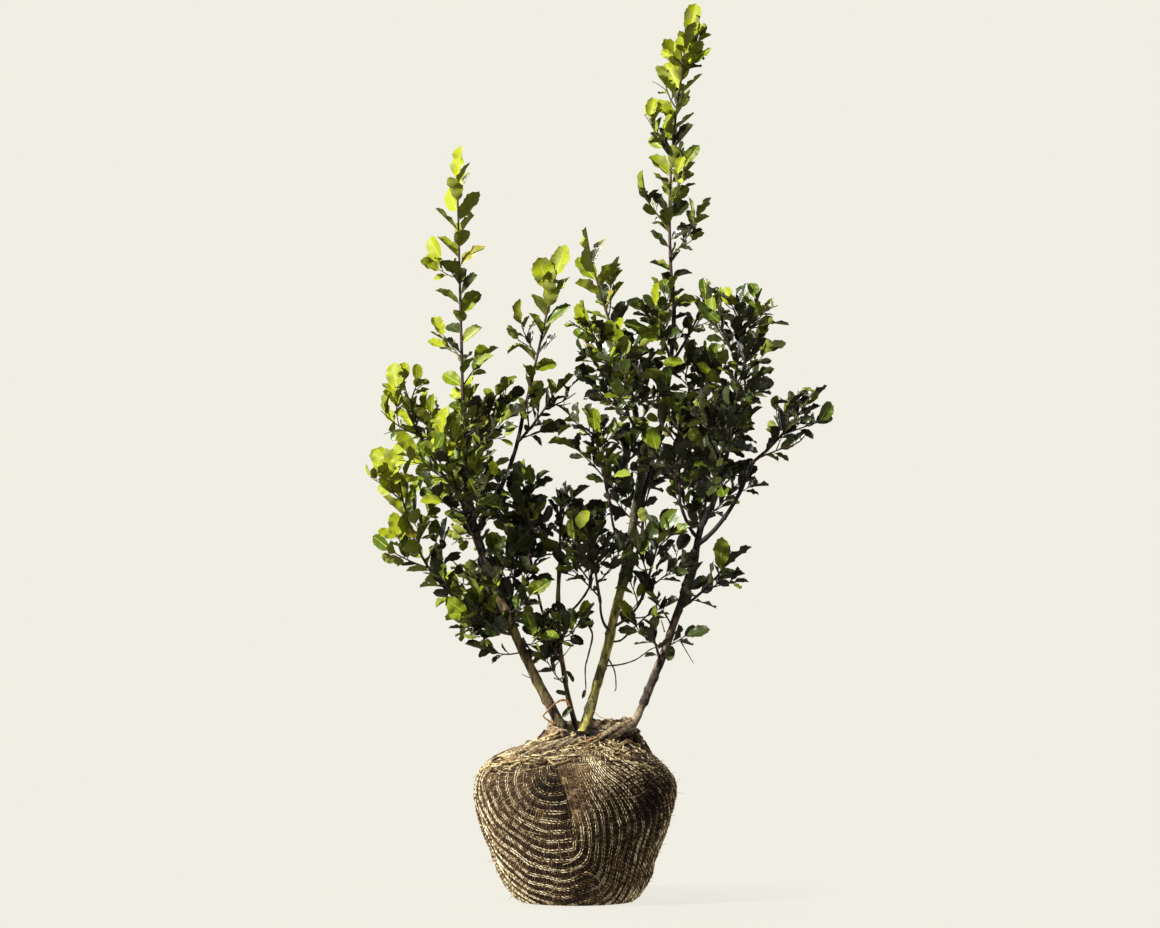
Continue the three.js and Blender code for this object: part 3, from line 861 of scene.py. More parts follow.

# The sixth number of each mass, its share of young growth, also sets its painted light: it is higher for
# masses that the key light falls on.
MASSES = (
    MassSize("left_spire", "leader_left", 1, (-166, -60, 1051), 60, 1.1, 1.67),
    MassSize("left_shoulder", "bough_left_high", 1, (-268, -98, 756), 52, 0.66, 1.25),
    MassSize("left_edge", "bough_left_low", 1, (-266, -92, 640), 76, 0.64, 1.34, (-16, 0, -22)),
    MassSize("left_foot", "stem_left", 0.43, (-184, -88, 420), 52, 0.36, 0.9),
    MassSize("left_front", "bough_left_front", 1, (-196, -194, 690), 88, 0.55, 1.16),
    MassSize("left_back", "bough_left_back", 1, (-190, 142, 690), 90, 0.4, 1.24),
    MassSize("left_heart", "leader_left", 0.4, (-96, 10, 748), 66, 0.5, 1.08),
    MassSize("left_low_back", "stem_left", 0.42, (-160, 116, 470), 70, 0.3, 0.98),
    MassSize("middle_back", "stem_left", 0.5, (-72, 84, 566), 76, 0.2, 0.98),
    MassSize("middle_spire", "bough_middle", 1, (-20, 2, 918), 58, 1.0, 1.6),
    MassSize("middle_side", "bough_middle", 0.8, (-4, -30, 744), 46, 0.35, 1.1),
    MassSize("middle_left", "bough_slender_left", 1, (-92, -34, 622), 78, 0.22, 0.92),
    MassSize("slender_top", "stem_slender", 1, (-22, 52, 598), 70, 0.18, 1.04),
    MassSize("slender_right", "bough_slender_right", 1, (34, 96, 560), 66, 0.16, 1.04),
    MassSize("slender_foot", "stem_slender", 0.42, (-58, -56, 410), 50, 0.3, 0.9),
    MassSize("right_spire", "leader_right", 1, (162, 45, 1262), 64, 0.78, 1.26, (-15, 0, 0)),
    MassSize("centre_spire", "leader_centre", 1, (8, -26, 938), 58, 1.0, 1.45),
    MassSize("centre_side", "leader_centre", 0.66, (-8, -40, 842), 52, 0.7, 1.25),
    MassSize("centre_front", "leader_centre", 0.3, (36, -150, 770), 76, 0.38, 1.04),
    MassSize("centre_back", "leader_centre", 0.45, (56, 142, 800), 72, 0.26, 1.12),
    MassSize("right_crest", "leader_right", 0.74, (100, -50, 864), 66, 0.78),
    MassSize("right_crown", "leader_right", 0.72, (200, 92, 872), 84, 0.42, 1.08),
    MassSize("right_shoulder", "bough_right_up", 1, (238, 4, 868), 86, 0.36, 1.08),
    MassSize("right_point", "bough_right_out", 1, (350, -66, 728), 46, 0.1, 1.08),
    MassSize("right_front", "bough_right_up", 0.3, (212, -164, 700), 84, 0.12, 1.2),
    MassSize("right_back", "bough_right_back", 1, (208, 162, 720), 92, 0.12, 1.24),
    MassSize("right_heart", "bough_right_inner", 1, (140, -88, 720), 74, 0.15, 1.12),
    MassSize("right_core", "bough_right_up", 0.6, (164, 20, 806), 72, 0.12),
    MassSize("centre_left", "bough_centre_left", 1, (18, -50, 700), 78, 0.34, 1.1),
    MassSize("centre_low", "bough_centre_low", 1, (14, -84, 552), 62, 0.2, 1.04),
    MassSize("centre_low_back", "bough_centre_back", 1, (102, 182, 680), 84, 0.18, 1.22),
    MassSize("centre_right", "bough_centre_right", 1, (130, -60, 560), 66, 0.06, 1.2),
    MassSize("right_low", "stem_right", 0.6, (240, -30, 498), 48, 0.1, 1.6),
    MassSize("right_foot", "stem_right", 0.36, (98, -54, 404), 50, 0.1),
)


class Tint(Enum):
    """The colours that leaves are dealt, each with its face, rib and underside: partly their own, partly
    painted light and shade.
    """

    LIME = ("leaves_lime", LIME, RIB, UNDERSIDE)
    FRESH = ("leaves_fresh", FRESH, RIB, UNDERSIDE)
    MID = ("leaves_green", MID, RIB, UNDERSIDE)
    DEEP = ("leaves_deep", DEEP, DARK_RIB, SHADED_UNDERSIDE)
    DARK = ("leaves_dark", DARK, DARK_RIB, SHADED_UNDERSIDE)
    BRONZE = ("leaves_bronze", BRONZE, RIB, UNDERSIDE)


def dealt(score: float, *limits: float) -> Tint:
    """The palest of the green shades whose limit a score passes, or else the darkest."""
    shades = zip(limits, (Tint.LIME, Tint.FRESH, Tint.MID, Tint.DEEP))
    return next((tint for limit, tint in shades if score > limit), Tint.DARK)


@dataclass
class Twig:
    """A shoot or twig: its path, its radius at both ends and how young it is.

    Bare is the share of it that has no leaves, gap the distance between its leaves, leaf the length of the
    largest, and spire says whether it is the shoot of a spire. How young it is also carries the painted
    light of its mass, which pales its leaves.
    """

    path: Array
    base: float
    end: float
    young: float
    bare: float
    gap: float
    leaf: float
    spire: bool = False

    def at(self, share: float) -> tuple[Array, Array]:
        """Finds a place on it.

        Args:
            share: how far along it the place lies.

        Returns:
            The point and the direction there.
        """
        place = share * (len(self.path) - 1)
        first = min(int(place), len(self.path) - 2)
        step = self.path[first + 1] - self.path[first]
        return self.path[first] + step * (place - first), unit(step)

    def length(self) -> float:
        """Its length."""
        return float(np.linalg.norm(np.diff(self.path, axis=0), axis=1).sum())


@dataclass
class Leaf:
    """Where a leaf's blade starts, which way it points and faces, and its size."""

    root: Array
    along: Array
    face: Array
    length: float
    width: float
    tint: Tint
    stalk: Array


@dataclass
class Crown:
    """All foliage: it grows by the source's rule, carried on to finer twigs.

    The sizes down to margin are the rule's own, and the others belong to the finer twigs and the leaves. A
    margin is how much deeper something has to lie in its own mass's space than in any other.
    """

    limbs: Limbs
    leaf_room: float = 46.0
    twig_gap: float = 32.0
    twig_angle: float = 0.9
    twig_rise: float = 0.4
    longest: float = 95.0
    shortest: float = 18.0
    bare: float = 0.1
    margin: float = 0.05
    fine_margin: float = -0.12
    leaf_margin: float = -0.2
    sub_gap: float = 17.0
    leaf_gap: float = 7.8
    biggest: float = 33.0
    smallest: float = 18.5
    apart: float = 0.29
    stalk: float = 3.6
    lost: float = 0.2
    spire_lost: float = 0.25
    spire_leaf: float = 1.38
    twig_clear: float = 2.0
    leaf_clear: float = 1.2
    topmost: float = 0.995
    twigs: list[Twig] = field(default_factory=list)
    leaves: list[Leaf] = field(default_factory=list)

    def __post_init__(self) -> None:
        """Works out the egg-shaped space of each mass, and the CAD nodes that the foliage stands for."""
        starts = np.array([self.limbs.fork(size.parent, size.at) for size in MASSES])
        tips = np.array([size.tip for size in MASSES], float)
        reach = tips - starts
        self.starts = starts
        self.axes = unit(reach)
        self.centres = (starts + tips) / 2
        self.halves = np.linalg.norm(reach, axis=1) / 2 + 4
        self.spreads = np.array([size.spread for size in MASSES], float)
        self.middles = np.zeros((0, 3))
        self.nodes = [f"foliage_{size.name}" for size in MASSES]
        self.chance = Chance(0)

    def depths(self, points: Array) -> Array:
        """Measures how far out points lie in each mass's space.

        Args:
            points: the points, one a row.

        Returns:
            A row for each point: 0 at the middle of a mass and 1 at its edge.
        """
        offsets = points[:, None] - self.centres[None]
        lengthwise = (offsets * self.axes[None]).sum(axis=-1)
        aside = np.sqrt(np.maximum(0, (offsets**2).sum(axis=-1) - lengthwise**2))
        return np.hypot(lengthwise / self.halves, aside / self.spreads)

    def owns(self, index: int, points: Array, margin: float) -> bool:
        """Says whether points lie in a mass's space.

        Args:
            index: the mass's number.
            points: the points, one a row.
            margin: how much deeper they have to lie there than in any other.

        Returns:
            True if all of them do.
        """
        depths = self.depths(points)
        own = depths[:, index]
        others = np.delete(depths, index, axis=1).min(axis=1)
        return bool(((own < 1) & (others > own + margin)).all())

    def grow(self) -> None:
        """Grows every mass, then the low shoots."""
        for index in range(len(MASSES)):
            self._grow_mass(index)
        self._grow_low_shoots()
        LOG.info("crown: %d twigs, %d leaves", len(self.twigs), len(self.leaves))

    def _grow_low_shoots(self) -> None:
        """Grows the short leafy shoots below the masses."""
        self.chance = Chance(99)
        for low in LOW_SHOOTS:
            start, end = self.limbs.all[low.parent].at(low.at)[0], np.array(low.tip, float)
            bow = np.array([self.chance.within(-4, 4), 0, -0.1 * np.linalg.norm(end - start)])
            path = bowed(start, end, bow, 6)
            twig = Twig(path, 1.3, 0.7, 0.3, 0.25, self.leaf_gap * 0.9, self.biggest * 0.9)
            self.twigs.append(twig)
            self._add_leaves(None, twig)

    def _grow_mass(self, index: int) -> None:
        """Grows a mass: its shoot, the rule's side twigs, finer ones between and on them, and the leaves.

        Args:
            index: the mass's number.
        """
        size = MASSES[index]
        self.chance = chance = Chance(1000 + 77 * index)
        shoot = self._shoot(index)
        count = int(shoot.length() * (1 - self.bare) / self.twig_gap)
        spin = chance() * 2 * math.pi
        grown = [shoot]
        for half in range(2 * count):
            added = half % 2 == 1
            root, tangent = shoot.at(self.bare + (1 - self.bare) * half / 2 / count)
            turn = spin + half / 2 * GOLDEN + (math.pi if added else 0)
            if added and (shoot.spire or chance() < self.lost):
                continue
            if shoot.spire and chance() < self.spire_lost:
                continue
            margin = self.fine_margin if added else self.margin
            reach = self.longest * (0.7 if added else 1.0) / size.open**1.5
            twig = self._side_twig(index, root, tangent, turn, reach, margin)
            if twig is None:
                continue
            grown.append(twig)
            grown.extend(self._sub_twigs(index, twig))
        self.twigs.extend(grown)
        for twig in grown:
            self._add_leaves(index, twig)

    def _shoot(self, index: int) -> Twig:
        """Lays the shoot that runs through a mass.

        Args:
            index: the mass's number.

        Returns:
            The shoot.
        """
        size, start = MASSES[index], self.starts[index]
        end = np.array(size.tip, float) - self.axes[index] * self.leaf_room
        sag = np.array([0.0, 0.0, -0.08 * math.hypot(end[0] - start[0], end[1] - start[1])])
        path = bowed(start, end, sag if size.bow is None else np.array(size.bow), 12)
        gap = self.leaf_gap * size.open
        if size.open >= SPIRE:
            return Twig(path, 2.5, 1.2, size.fresh_and_lit, 0.02, gap, self.biggest * self.spire_leaf, True)
        return Twig(path, 2.5, 1.2, size.fresh_and_lit, self.bare, gap, self.biggest)

    def _side_twig(
        self, index: int, root: Array, tangent: Array, turn: float, reach: float, margin: float
    ) -> Twig | None:
        """Grows one side twig, as long as the mass's space allows.

        Args:
            index: the mass's number.
            root: where it starts.
            tangent: the direction of what it grows from.
            turn: the angle about that at which it leaves.
            reach: its greatest length.
            margin: how much deeper in its own space than in others it has to lie.

        Returns:
            The twig, or None where there is no room.
        """
        size, chance = MASSES[index], self.chance
        aside = turned_aside(tangent, turn)
        direction = tangent * math.cos(self.twig_angle) + aside * math.sin(self.twig_angle)
        direction = unit(direction + UP * self.twig_rise)
        places = np.array([[0.25], [0.5], [0.75], [1.0], [1.15]])
        while reach > self.shortest:
            tests = root + direction * reach * places
            if self.owns(index, tests, margin) and self.limbs.crowding(tests[1:]) > self.twig_clear:
                bow = turned_aside(direction, chance() * 2 * math.pi) * reach * 0.05 - UP * reach * 0.03
                path = bowed(root, root + direction * reach, bow, 6)
                young = size.fresh_and_lit * chance.within(0.6, 1.3)
                gap = self.leaf_gap * size.open
                return Twig(path, 1.35, 0.75, young, 0.12, gap, self.biggest * 0.96)
            reach *= 0.82
        return None

    def _sub_twigs(self, index: int, twig: Twig) -> Iterator[Twig]:
        """Grows the finest twigs on a side twig.

        Args:
            index: the mass's number.
            twig: the side twig.

        Yields:
            Each of them for which there is room.
        """
        chance = self.chance
        count = int(twig.length() * 0.75 / self.sub_gap)
        spin = chance() * 2 * math.pi
        for number in range(count):
            root, tangent = twig.at(0.3 + 0.6 * number / max(count, 1))
            aside = turned_aside(tangent, spin + number * math.pi + chance.within(-0.5, 0.5))
            direction = unit(tangent * math.cos(0.75) + aside * math.sin(0.75) + UP * 0.25)
            reach = twig.length() * chance.within(0.35, 0.6)
            tests = root + direction * reach * np.array([[0.5], [1.0]])
            if self.owns(index, tests, self.fine_margin) and self.limbs.crowding(tests) > self.twig_clear:
                bow = turned_aside(direction, chance() * 2 * math.pi) * reach * 0.05
                path = bowed(root, root + direction * reach, bow, 4)
                yield Twig(path, 0.85, 0.55, twig.young * 1.1, 0.25, self.leaf_gap, self.biggest * 0.82)

    def _add_leaves(self, index: int | None, twig: Twig) -> None:
        """Sets the leaf at a twig's tip, then the others in a spiral from its foot.

        Args:
            index: the mass's number, or None for a low shoot.
            twig: what they grow on.
        """
        chance = self.chance
        count = int(twig.length() * (1 - twig.bare) / twig.gap)
        spin = chance() * 2 * math.pi
        tangent = twig.at(self.topmost)[1]
        shaded = unit(tangent * np.dot(tangent, SUNWARD) - SUNWARD)
        for angle in (0.34, 0.26, 0.18, 0.1, 0.04):
            if self._add_leaf(index, twig, 1.0, shaded, angle, 0.8 + 0.6 * angle):
                break
        least = 0.78 if twig.spire else self.smallest / self.biggest
        for number in range(count):
            spaced = ((number + 0.5) / count) ** (0.9 if twig.spire else 0.68)
            share = twig.bare + (1 - twig.bare) * spaced
            tangent = twig.at(share)[1]
            for attempt in range(5):
                aside = turned_aside(tangent, spin + number * GOLDEN + attempt * 0.6)
                angle = between(1.1, 0.62, share) + chance.within(-0.12, 0.12)
                scale = between(least, 1.0, chance() ** 0.8)
                if self._add_leaf(index, twig, share, aside, angle, scale):
                    break

    def _add_leaf(
        self, index: int | None, twig: Twig, share: float, aside: Array, angle: float, scale: float
    ) -> bool:
        """Sets a leaf if it lies in the mass's space and has room.

        Args:
            index: the mass's number, or None for a low shoot.
            twig: what it grows on.
            share: how far along the twig it grows.
            aside: the side of the twig that it grows on.
            angle: how far it leans out from the twig.
            scale: its size beside the twig's largest leaf.

        Returns:
            True if it was set.
        """
        chance = self.chance
        root, tangent = twig.at(min(share, self.topmost))
        roll = chance.within(-0.95, 0.95)
        pointing = tangent * math.cos(angle) + aside * math.sin(angle)
        face = tangent * math.sin(angle) - aside * math.cos(angle)
        sunward = min(twig.young, 1.0) * (0.95 if twig.spire else 0.7)
        face = face + 0.5 * UP + sunward * SUNWARD
        face = turned(unit(face - pointing * np.dot(face, pointing)), pointing, roll)
        length = twig.leaf * scale * (0.74 + 0.38 * share)
        blade = root + pointing * self.stalk
        middle = blade + pointing * length * 0.5
        width = length * chance.within(0.54, 0.68)
        half = np.cross(pointing, face) * width * 0.45
        tests = np.array([middle, blade + pointing * length, middle + half, middle - half])
        if index is not None and not self.owns(index, tests, self.leaf_margin):
            return False
        gaps = np.linalg.norm(self.middles - middle, axis=1)
        if len(gaps) and gaps.min() < self.apart * length:
            return False
        if self.limbs.crowding(tests) < self.leaf_clear:
            return False
        self.middles = np.vstack([self.middles, middle])
        tint = self._tint(index, twig, middle, share)
        self.leaves.append(Leaf(blade, pointing, face, length, width, tint, root))
        return True

    def _tint(self, index: int | None, twig: Twig, middle: Array, share: float) -> Tint:
        """Deals a leaf its colour: paler when young, with painted light and shade by its place in the mass.

        Args:
            index: the mass's number, or None for a low shoot.
            twig: what it grows on.
            middle: the middle of its blade.
            share: how far along the twig it grows.

        Returns:
            The shade.
        """
        chance = self.chance
        if index is None:
            return dealt(chance(), 0.94, 0.8, 0.55, 0.25)
        size = MASSES[index]
        offset = middle - self.centres[index]
        height = float(offset @ self.axes[index]) / self.halves[index]
        left = -float(offset[0]) / size.spread
        edge = rise(-120, -270, middle[0])
        luck = chance.within(-0.46, 0.44)
        out = self.depths(middle[None])[0, index] - 0.75
        climb = (0.5 if size.open >= SPIRE else 0.18) * height
        # Painted light and shade: left, edge and out make a leaf paler to the lit left of its mass and of
        # the crown and on the outside of its mass, and darker deep inside it, where shade falls; climb
        # pales it higher up the mass, for young growth and light both. Young, which also carries the mass's
        # painted light, and share pale young leaves near the tips; luck is chance.
        score = twig.young * 0.8 + 0.14 * left + climb + 0.4 * edge + 0.1 * share + 0.55 * out + luck
        if chance() < 0.012 * (1 + size.fresh_and_lit):
            return Tint.BRONZE
        return dealt(score, 0.82, 0.58, 0.35, 0.13)

    def make(self) -> None:
        """Makes the twigs, stalks and leaves, each kind joined."""
        self._make_twigs()
        self._make_leaves()

    def _make_twigs(self) -> None:
        """Makes the twigs and the leaves' stalks, the old ones brown and the young ones green."""
        dark, green = Sheaf("twigs_brown"), Sheaf("twigs_green")
        for number, twig in enumerate(self.twigs):
            # Twigs are green where young, and how young they are also carries their mass's painted light.
            sheaf = green if twig.young > 0.62 and twig.base < 2 else dark
            share = np.linspace(0, 1, len(twig.path))
            radii = between(twig.base, twig.end, share)
            bumps = 1 + 0.1 * np.sin(np.arange(len(share)) * 2.4 + number)
            sides = 7 if twig.base > 2 else 5
            sheaf.add_tube(twig.path, radii * bumps, sides, 0.35 + 0.3 * (number % 7) / 7)
        for leaf in self.leaves:
            # The stalks follow the colour of their leaves, painted light and shade included.
            sheaf = green if leaf.tint in (Tint.LIME, Tint.FRESH, Tint.MID) else dark
            sagging = (leaf.stalk + leaf.root) / 2 - leaf.face * 0.3
            path = np.array([leaf.stalk, sagging, leaf.root + leaf.along * 1.5])
            sheaf.add_tube(path, np.array([0.9, 0.65, 0.5]), 3)
        dark.make(Bark.TWIG.value.make(), "twig", self.nodes)
        green.make(Bark.YOUNG.value.make(), "twig", self.nodes)

    def _make_leaves(self) -> None:
        """Makes the leaves' faces by shade, then the undersides and the ribs."""
        backs = {UNDERSIDE: Sheaf("undersides_pale"), SHADED_UNDERSIDE: Sheaf("undersides_dark")}
        ribs = {RIB: Sheaf("ribs_pale"), DARK_RIB: Sheaf("ribs_dark")}
        for seed, tint in enumerate(Tint):
            name, face, rib, back = tint.value
            shapes = Blades([leaf for leaf in self.leaves if leaf.tint is tint], seed)
            top = Sheaf(name)
            top.add(*shapes.tops())
            top.make(face.make(), "leaf", self.nodes)
            backs[back].add(*shapes.backs())
            ribs[rib].add(*shapes.ribs())
        for finish, sheaf in [*backs.items(), *ribs.items()]:
            sheaf.make(finish.make(), "leaf", self.nodes)


class Blades:
    """The blades of many leaves: toothed, folded along the rib, arched and wavy at the edge."""

    rows = np.array([0.0, 0.08, 0.18, 0.27, 0.33, 0.42, 0.48, 0.57, 0.63, 0.72, 0.78, 0.87, 0.92, 1.0])
    reach = np.array([0.05, 0.4, 0.72, 0.93, 0.9, 1.06, 1.0, 1.09, 0.97, 0.97, 0.82, 0.66, 0.41, 0.02])
    lean = np.array([0, 0, 0, 0.03, 0, 0.03, 0, 0.03, 0, 0.035, 0, 0.035, 0, 0])
    columns = np.array([-1.0, -0.56, 0.0, 0.56, 1.0])
    waves = 14

    def __init__(self, leaves: Sequence[Leaf], seed: int) -> None:
        """Draws each leaf's own bend, fold and wave.

        Args:
            leaves: the leaves to shape.
            seed: which draws they get.
        """
        chance = np.random.default_rng(400 + seed)
        count = len(leaves)
        self.count = count
        self.root = np.array([leaf.root for leaf in leaves]).reshape(-1, 1, 3)
        self.along = np.array([leaf.along for leaf in leaves]).reshape(-1, 1, 3)
        self.face = np.array([leaf.face for leaf in leaves]).reshape(-1, 1, 3)
        self.right = np.cross(self.along, self.face)
        self.length = np.array([leaf.length for leaf in leaves]).reshape(-1, 1)
        self.half = np.array([leaf.width / 2 for leaf in leaves]).reshape(-1, 1)
        self.droop = chance.uniform(-0.12, 0.2, (count, 1))
        self.fold = chance.uniform(0.12, 0.7, (count, 1))
        self.wave = chance.uniform(0.015, 0.075, (count, 1))
        self.phase = chance.uniform(0, 6.3, (count, 1))
        self.swing = chance.uniform(-0.09, 0.09, (count, 1))

    def _place(self, across: Array, forward: Array, lift: Array) -> Array:
        """Places a template's points on every leaf.

        Args:
            across: how far each lies from the rib, as a share of half the width.
            forward: how far along the blade each lies, as a share of its length.
            lift: how far above the blade each is raised.

        Returns:
            The points, leaf by leaf.
        """
        side = np.abs(across)
        flat = np.cos(self.fold * side)
        height = self.half * side * np.sin(self.fold) - self.length * self.droop * forward**2
        waving = self.length * self.wave * np.sin(self.waves * forward + self.phase + across) * side**2
        height = height + waving + lift
        aside = self.half * across * flat + self.length * self.swing * forward**2
        ahead = self.length * (forward - 0.25 * self.droop * forward**2)
        points = self.root + self.right * aside[..., None] + self.along * ahead[..., None]
        return (points + self.face * height[..., None]).reshape(-1, 3)

    def _toothed(self, columns: Array, lifts: Sequence[float]) -> Array:
        """Places a sheet with toothed edges on every leaf.

        Args:
            columns: where its columns lie, as shares of half the width.
            lifts: how far above the blade each column is raised.

        Returns:
            The points, leaf by leaf.
        """
        across = columns[None] * self.reach[:, None]
        forward = self.rows[:, None] + np.abs(columns[None]) ** 3 * self.lean[:, None]
        lifted = np.broadcast_to(lifts, across.shape)
        return self._place(across.reshape(1, -1), forward.reshape(1, -1), lifted.reshape(1, -1))

    def _faces(self, template: Array) -> list[Array]:
        """Repeats a template's faces for every leaf."""
        steps = np.arange(self.count)[:, None, None] * (template.max() + 1)
        return [(template[None] + steps).reshape(-1, template.shape[1])]

    def tops(self) -> tuple[Array, list[Array]]:
        """The upper faces."""
        points = self._toothed(self.columns, (0, 0, 0, 0, 0))
        return points, self._faces(sheet_faces(len(self.rows), len(self.columns)))

    def backs(self) -> tuple[Array, list[Array]]:
        """The undersides, which meet the upper faces at the edge and hang a little lower at the rib."""
        points = self._toothed(self.columns[::2], (-0.05, -0.7, -0.05))
        return points, self._faces(sheet_faces(len(self.rows), 3)[:, ::-1])

    def ribs(self) -> tuple[Array, list[Array]]:
        """Shapes the ribs, as slim raised strips that taper to the tip.

        Returns:
            Their points and faces.
        """
        wide = np.array([0.07, 0.055, 0.045, 0.03, 0.015])
        across = np.array([-1.0, 0.0, 1.0])[None] * wide[:, None]
        forward = np.repeat([0.0, 0.25, 0.5, 0.72, 0.92], 3)
        lifts = np.broadcast_to((0.05, 0.45, 0.05), across.shape)
        points = self._place(across.reshape(1, -1), forward[None], lifts.reshape(1, -1))
        return points, self._faces(sheet_faces(len(wide), 3))


# The root ball


@dataclass
class BallShape:
    """The wrapped ball's surface, by an angle round it and a height.

    The first sizes are those of the part's own source. Tuck, dent and wrinkle are the cloth's own relief.
    """

    radii: tuple[float, ...] = (76, 91, 106, 120, 133, 140, 140, 125, 99, 79, 69, 63)
    heights: tuple[float, ...] = (0, 13, 38, 74, 108, 140, 170, 192, 209, 220, 230, SOIL)
    neck_heights: Pair = (200, 236)
    neck_shift: float = 21.0
    neck_depth: float = 0.6
    belly_depth: float = 0.97
    fold_angle: float = -1.62
    fold_width: float = 0.17
    fold_depth: float = 9.0
    tuck: float = 7.0
    dent: float = 1.6
    wrinkle: float = 0.7

    def __post_init__(self) -> None:
        """Smooths the outline and measures along it."""
        self.profile = smooth_path(np.array([self.radii, self.heights], float).T, 12)
        steps = np.linalg.norm(np.diff(self.profile, axis=0), axis=1)
        self.reached = np.concatenate([[0], np.cumsum(steps)])

    def level(self, share: Any) -> tuple[Array, Array]:
        """The radius and height a share of the way up the outline."""
        where = np.asarray(share, float) * self.reached[-1]
        return tuple(np.interp(where, self.reached, column) for column in self.profile.T)

    def share_at(self, height: Any) -> Any:
        """The share of the way up the outline at which a height is reached."""
        return np.interp(height, self.profile[:, 1], self.reached) / self.reached[-1]

    def squash(self, height: Any) -> tuple[Any, Any]:
        """How far the ball has turned into its neck at a height, and its depth as a share of its width."""
        neck = rise(*self.neck_heights, height)
        return neck, between(self.belly_depth, self.neck_depth, neck)

    def point(self, angle: Any, radius: Any, height: Any) -> Array:
        """Finds points of the surface, as the part's source shapes it.

        Args:
            angle: the angle about the upright axis, where -pi/2 faces the viewer.
            radius: the outline's radius there, with anything that stands proud of it.
            height: the height.

        Returns:
            The points.
        """
        neck, depth = self.squash(height)
        side = rise(0, 40, height) * (1 - neck)
        turn = np.abs((angle - self.fold_angle + math.pi) % (2 * math.pi) - math.pi)
        crease = np.exp(-((turn / self.fold_width) ** 2)) * rise(96, 165, height)
        crease = crease * (1 - rise(175, 214, height))
        lumps = 0.02 * np.sin(2 * angle + 0.6) + 0.014 * np.sin(3 * angle + height / 70)
        lumps = lumps + 0.008 * np.sin(7 * angle)
        reach = radius * (1 + side * lumps) - self.fold_depth * crease
        x = self.neck_shift * neck + reach * np.cos(angle)
        return np.stack(np.broadcast_arrays(x, reach * depth * np.sin(angle), height), axis=-1)

    def relief(self, angle: Any, height: Any) -> Array:
        """Finds how far the cloth's dents and wrinkles stand proud of the even shape.

        Args:
            angle: the angle about the upright axis.
            height: the height.

        Returns:
            The heights of the relief, below 0 where the cloth is pressed in.
        """
        around = np.stack(np.broadcast_arrays(130 * np.cos(angle), 130 * np.sin(angle), height), axis=-1)
        bumps = self.dent * ripple(around, 26, 41) + self.wrinkle * ripple(around, 11, 42)
        pressed = self.tuck * rise(0.55, 1.0, np.cos(angle)) * rise(10, 60, height) * rise(215, 190, height)
        return bumps * rise(0, 14, height) - pressed

    def on(self, angle: Any, share: Any, proud: Any = 0.0) -> Array:
        """Points on the cloth, or proud of it, by angle and share of the outline."""
        radius, height = self.level(share)
        return self.point(angle, radius + proud + self.relief(angle, height), height)


@dataclass(frozen=True)
class Shade:
    """A soft oval patch of darker cloth, by how far aside and how high its middle lies."""

    aside: float
    height: float
    wide: float
    tall: float
    depth: float

    def at(self, aside: Array, height: Array) -> Array:
        """How much darker it makes the cloth there."""
        spread = ((aside - self.aside) / self.wide) ** 2 + ((height - self.height) / self.tall) ** 2
        return self.depth * np.exp(-spread)


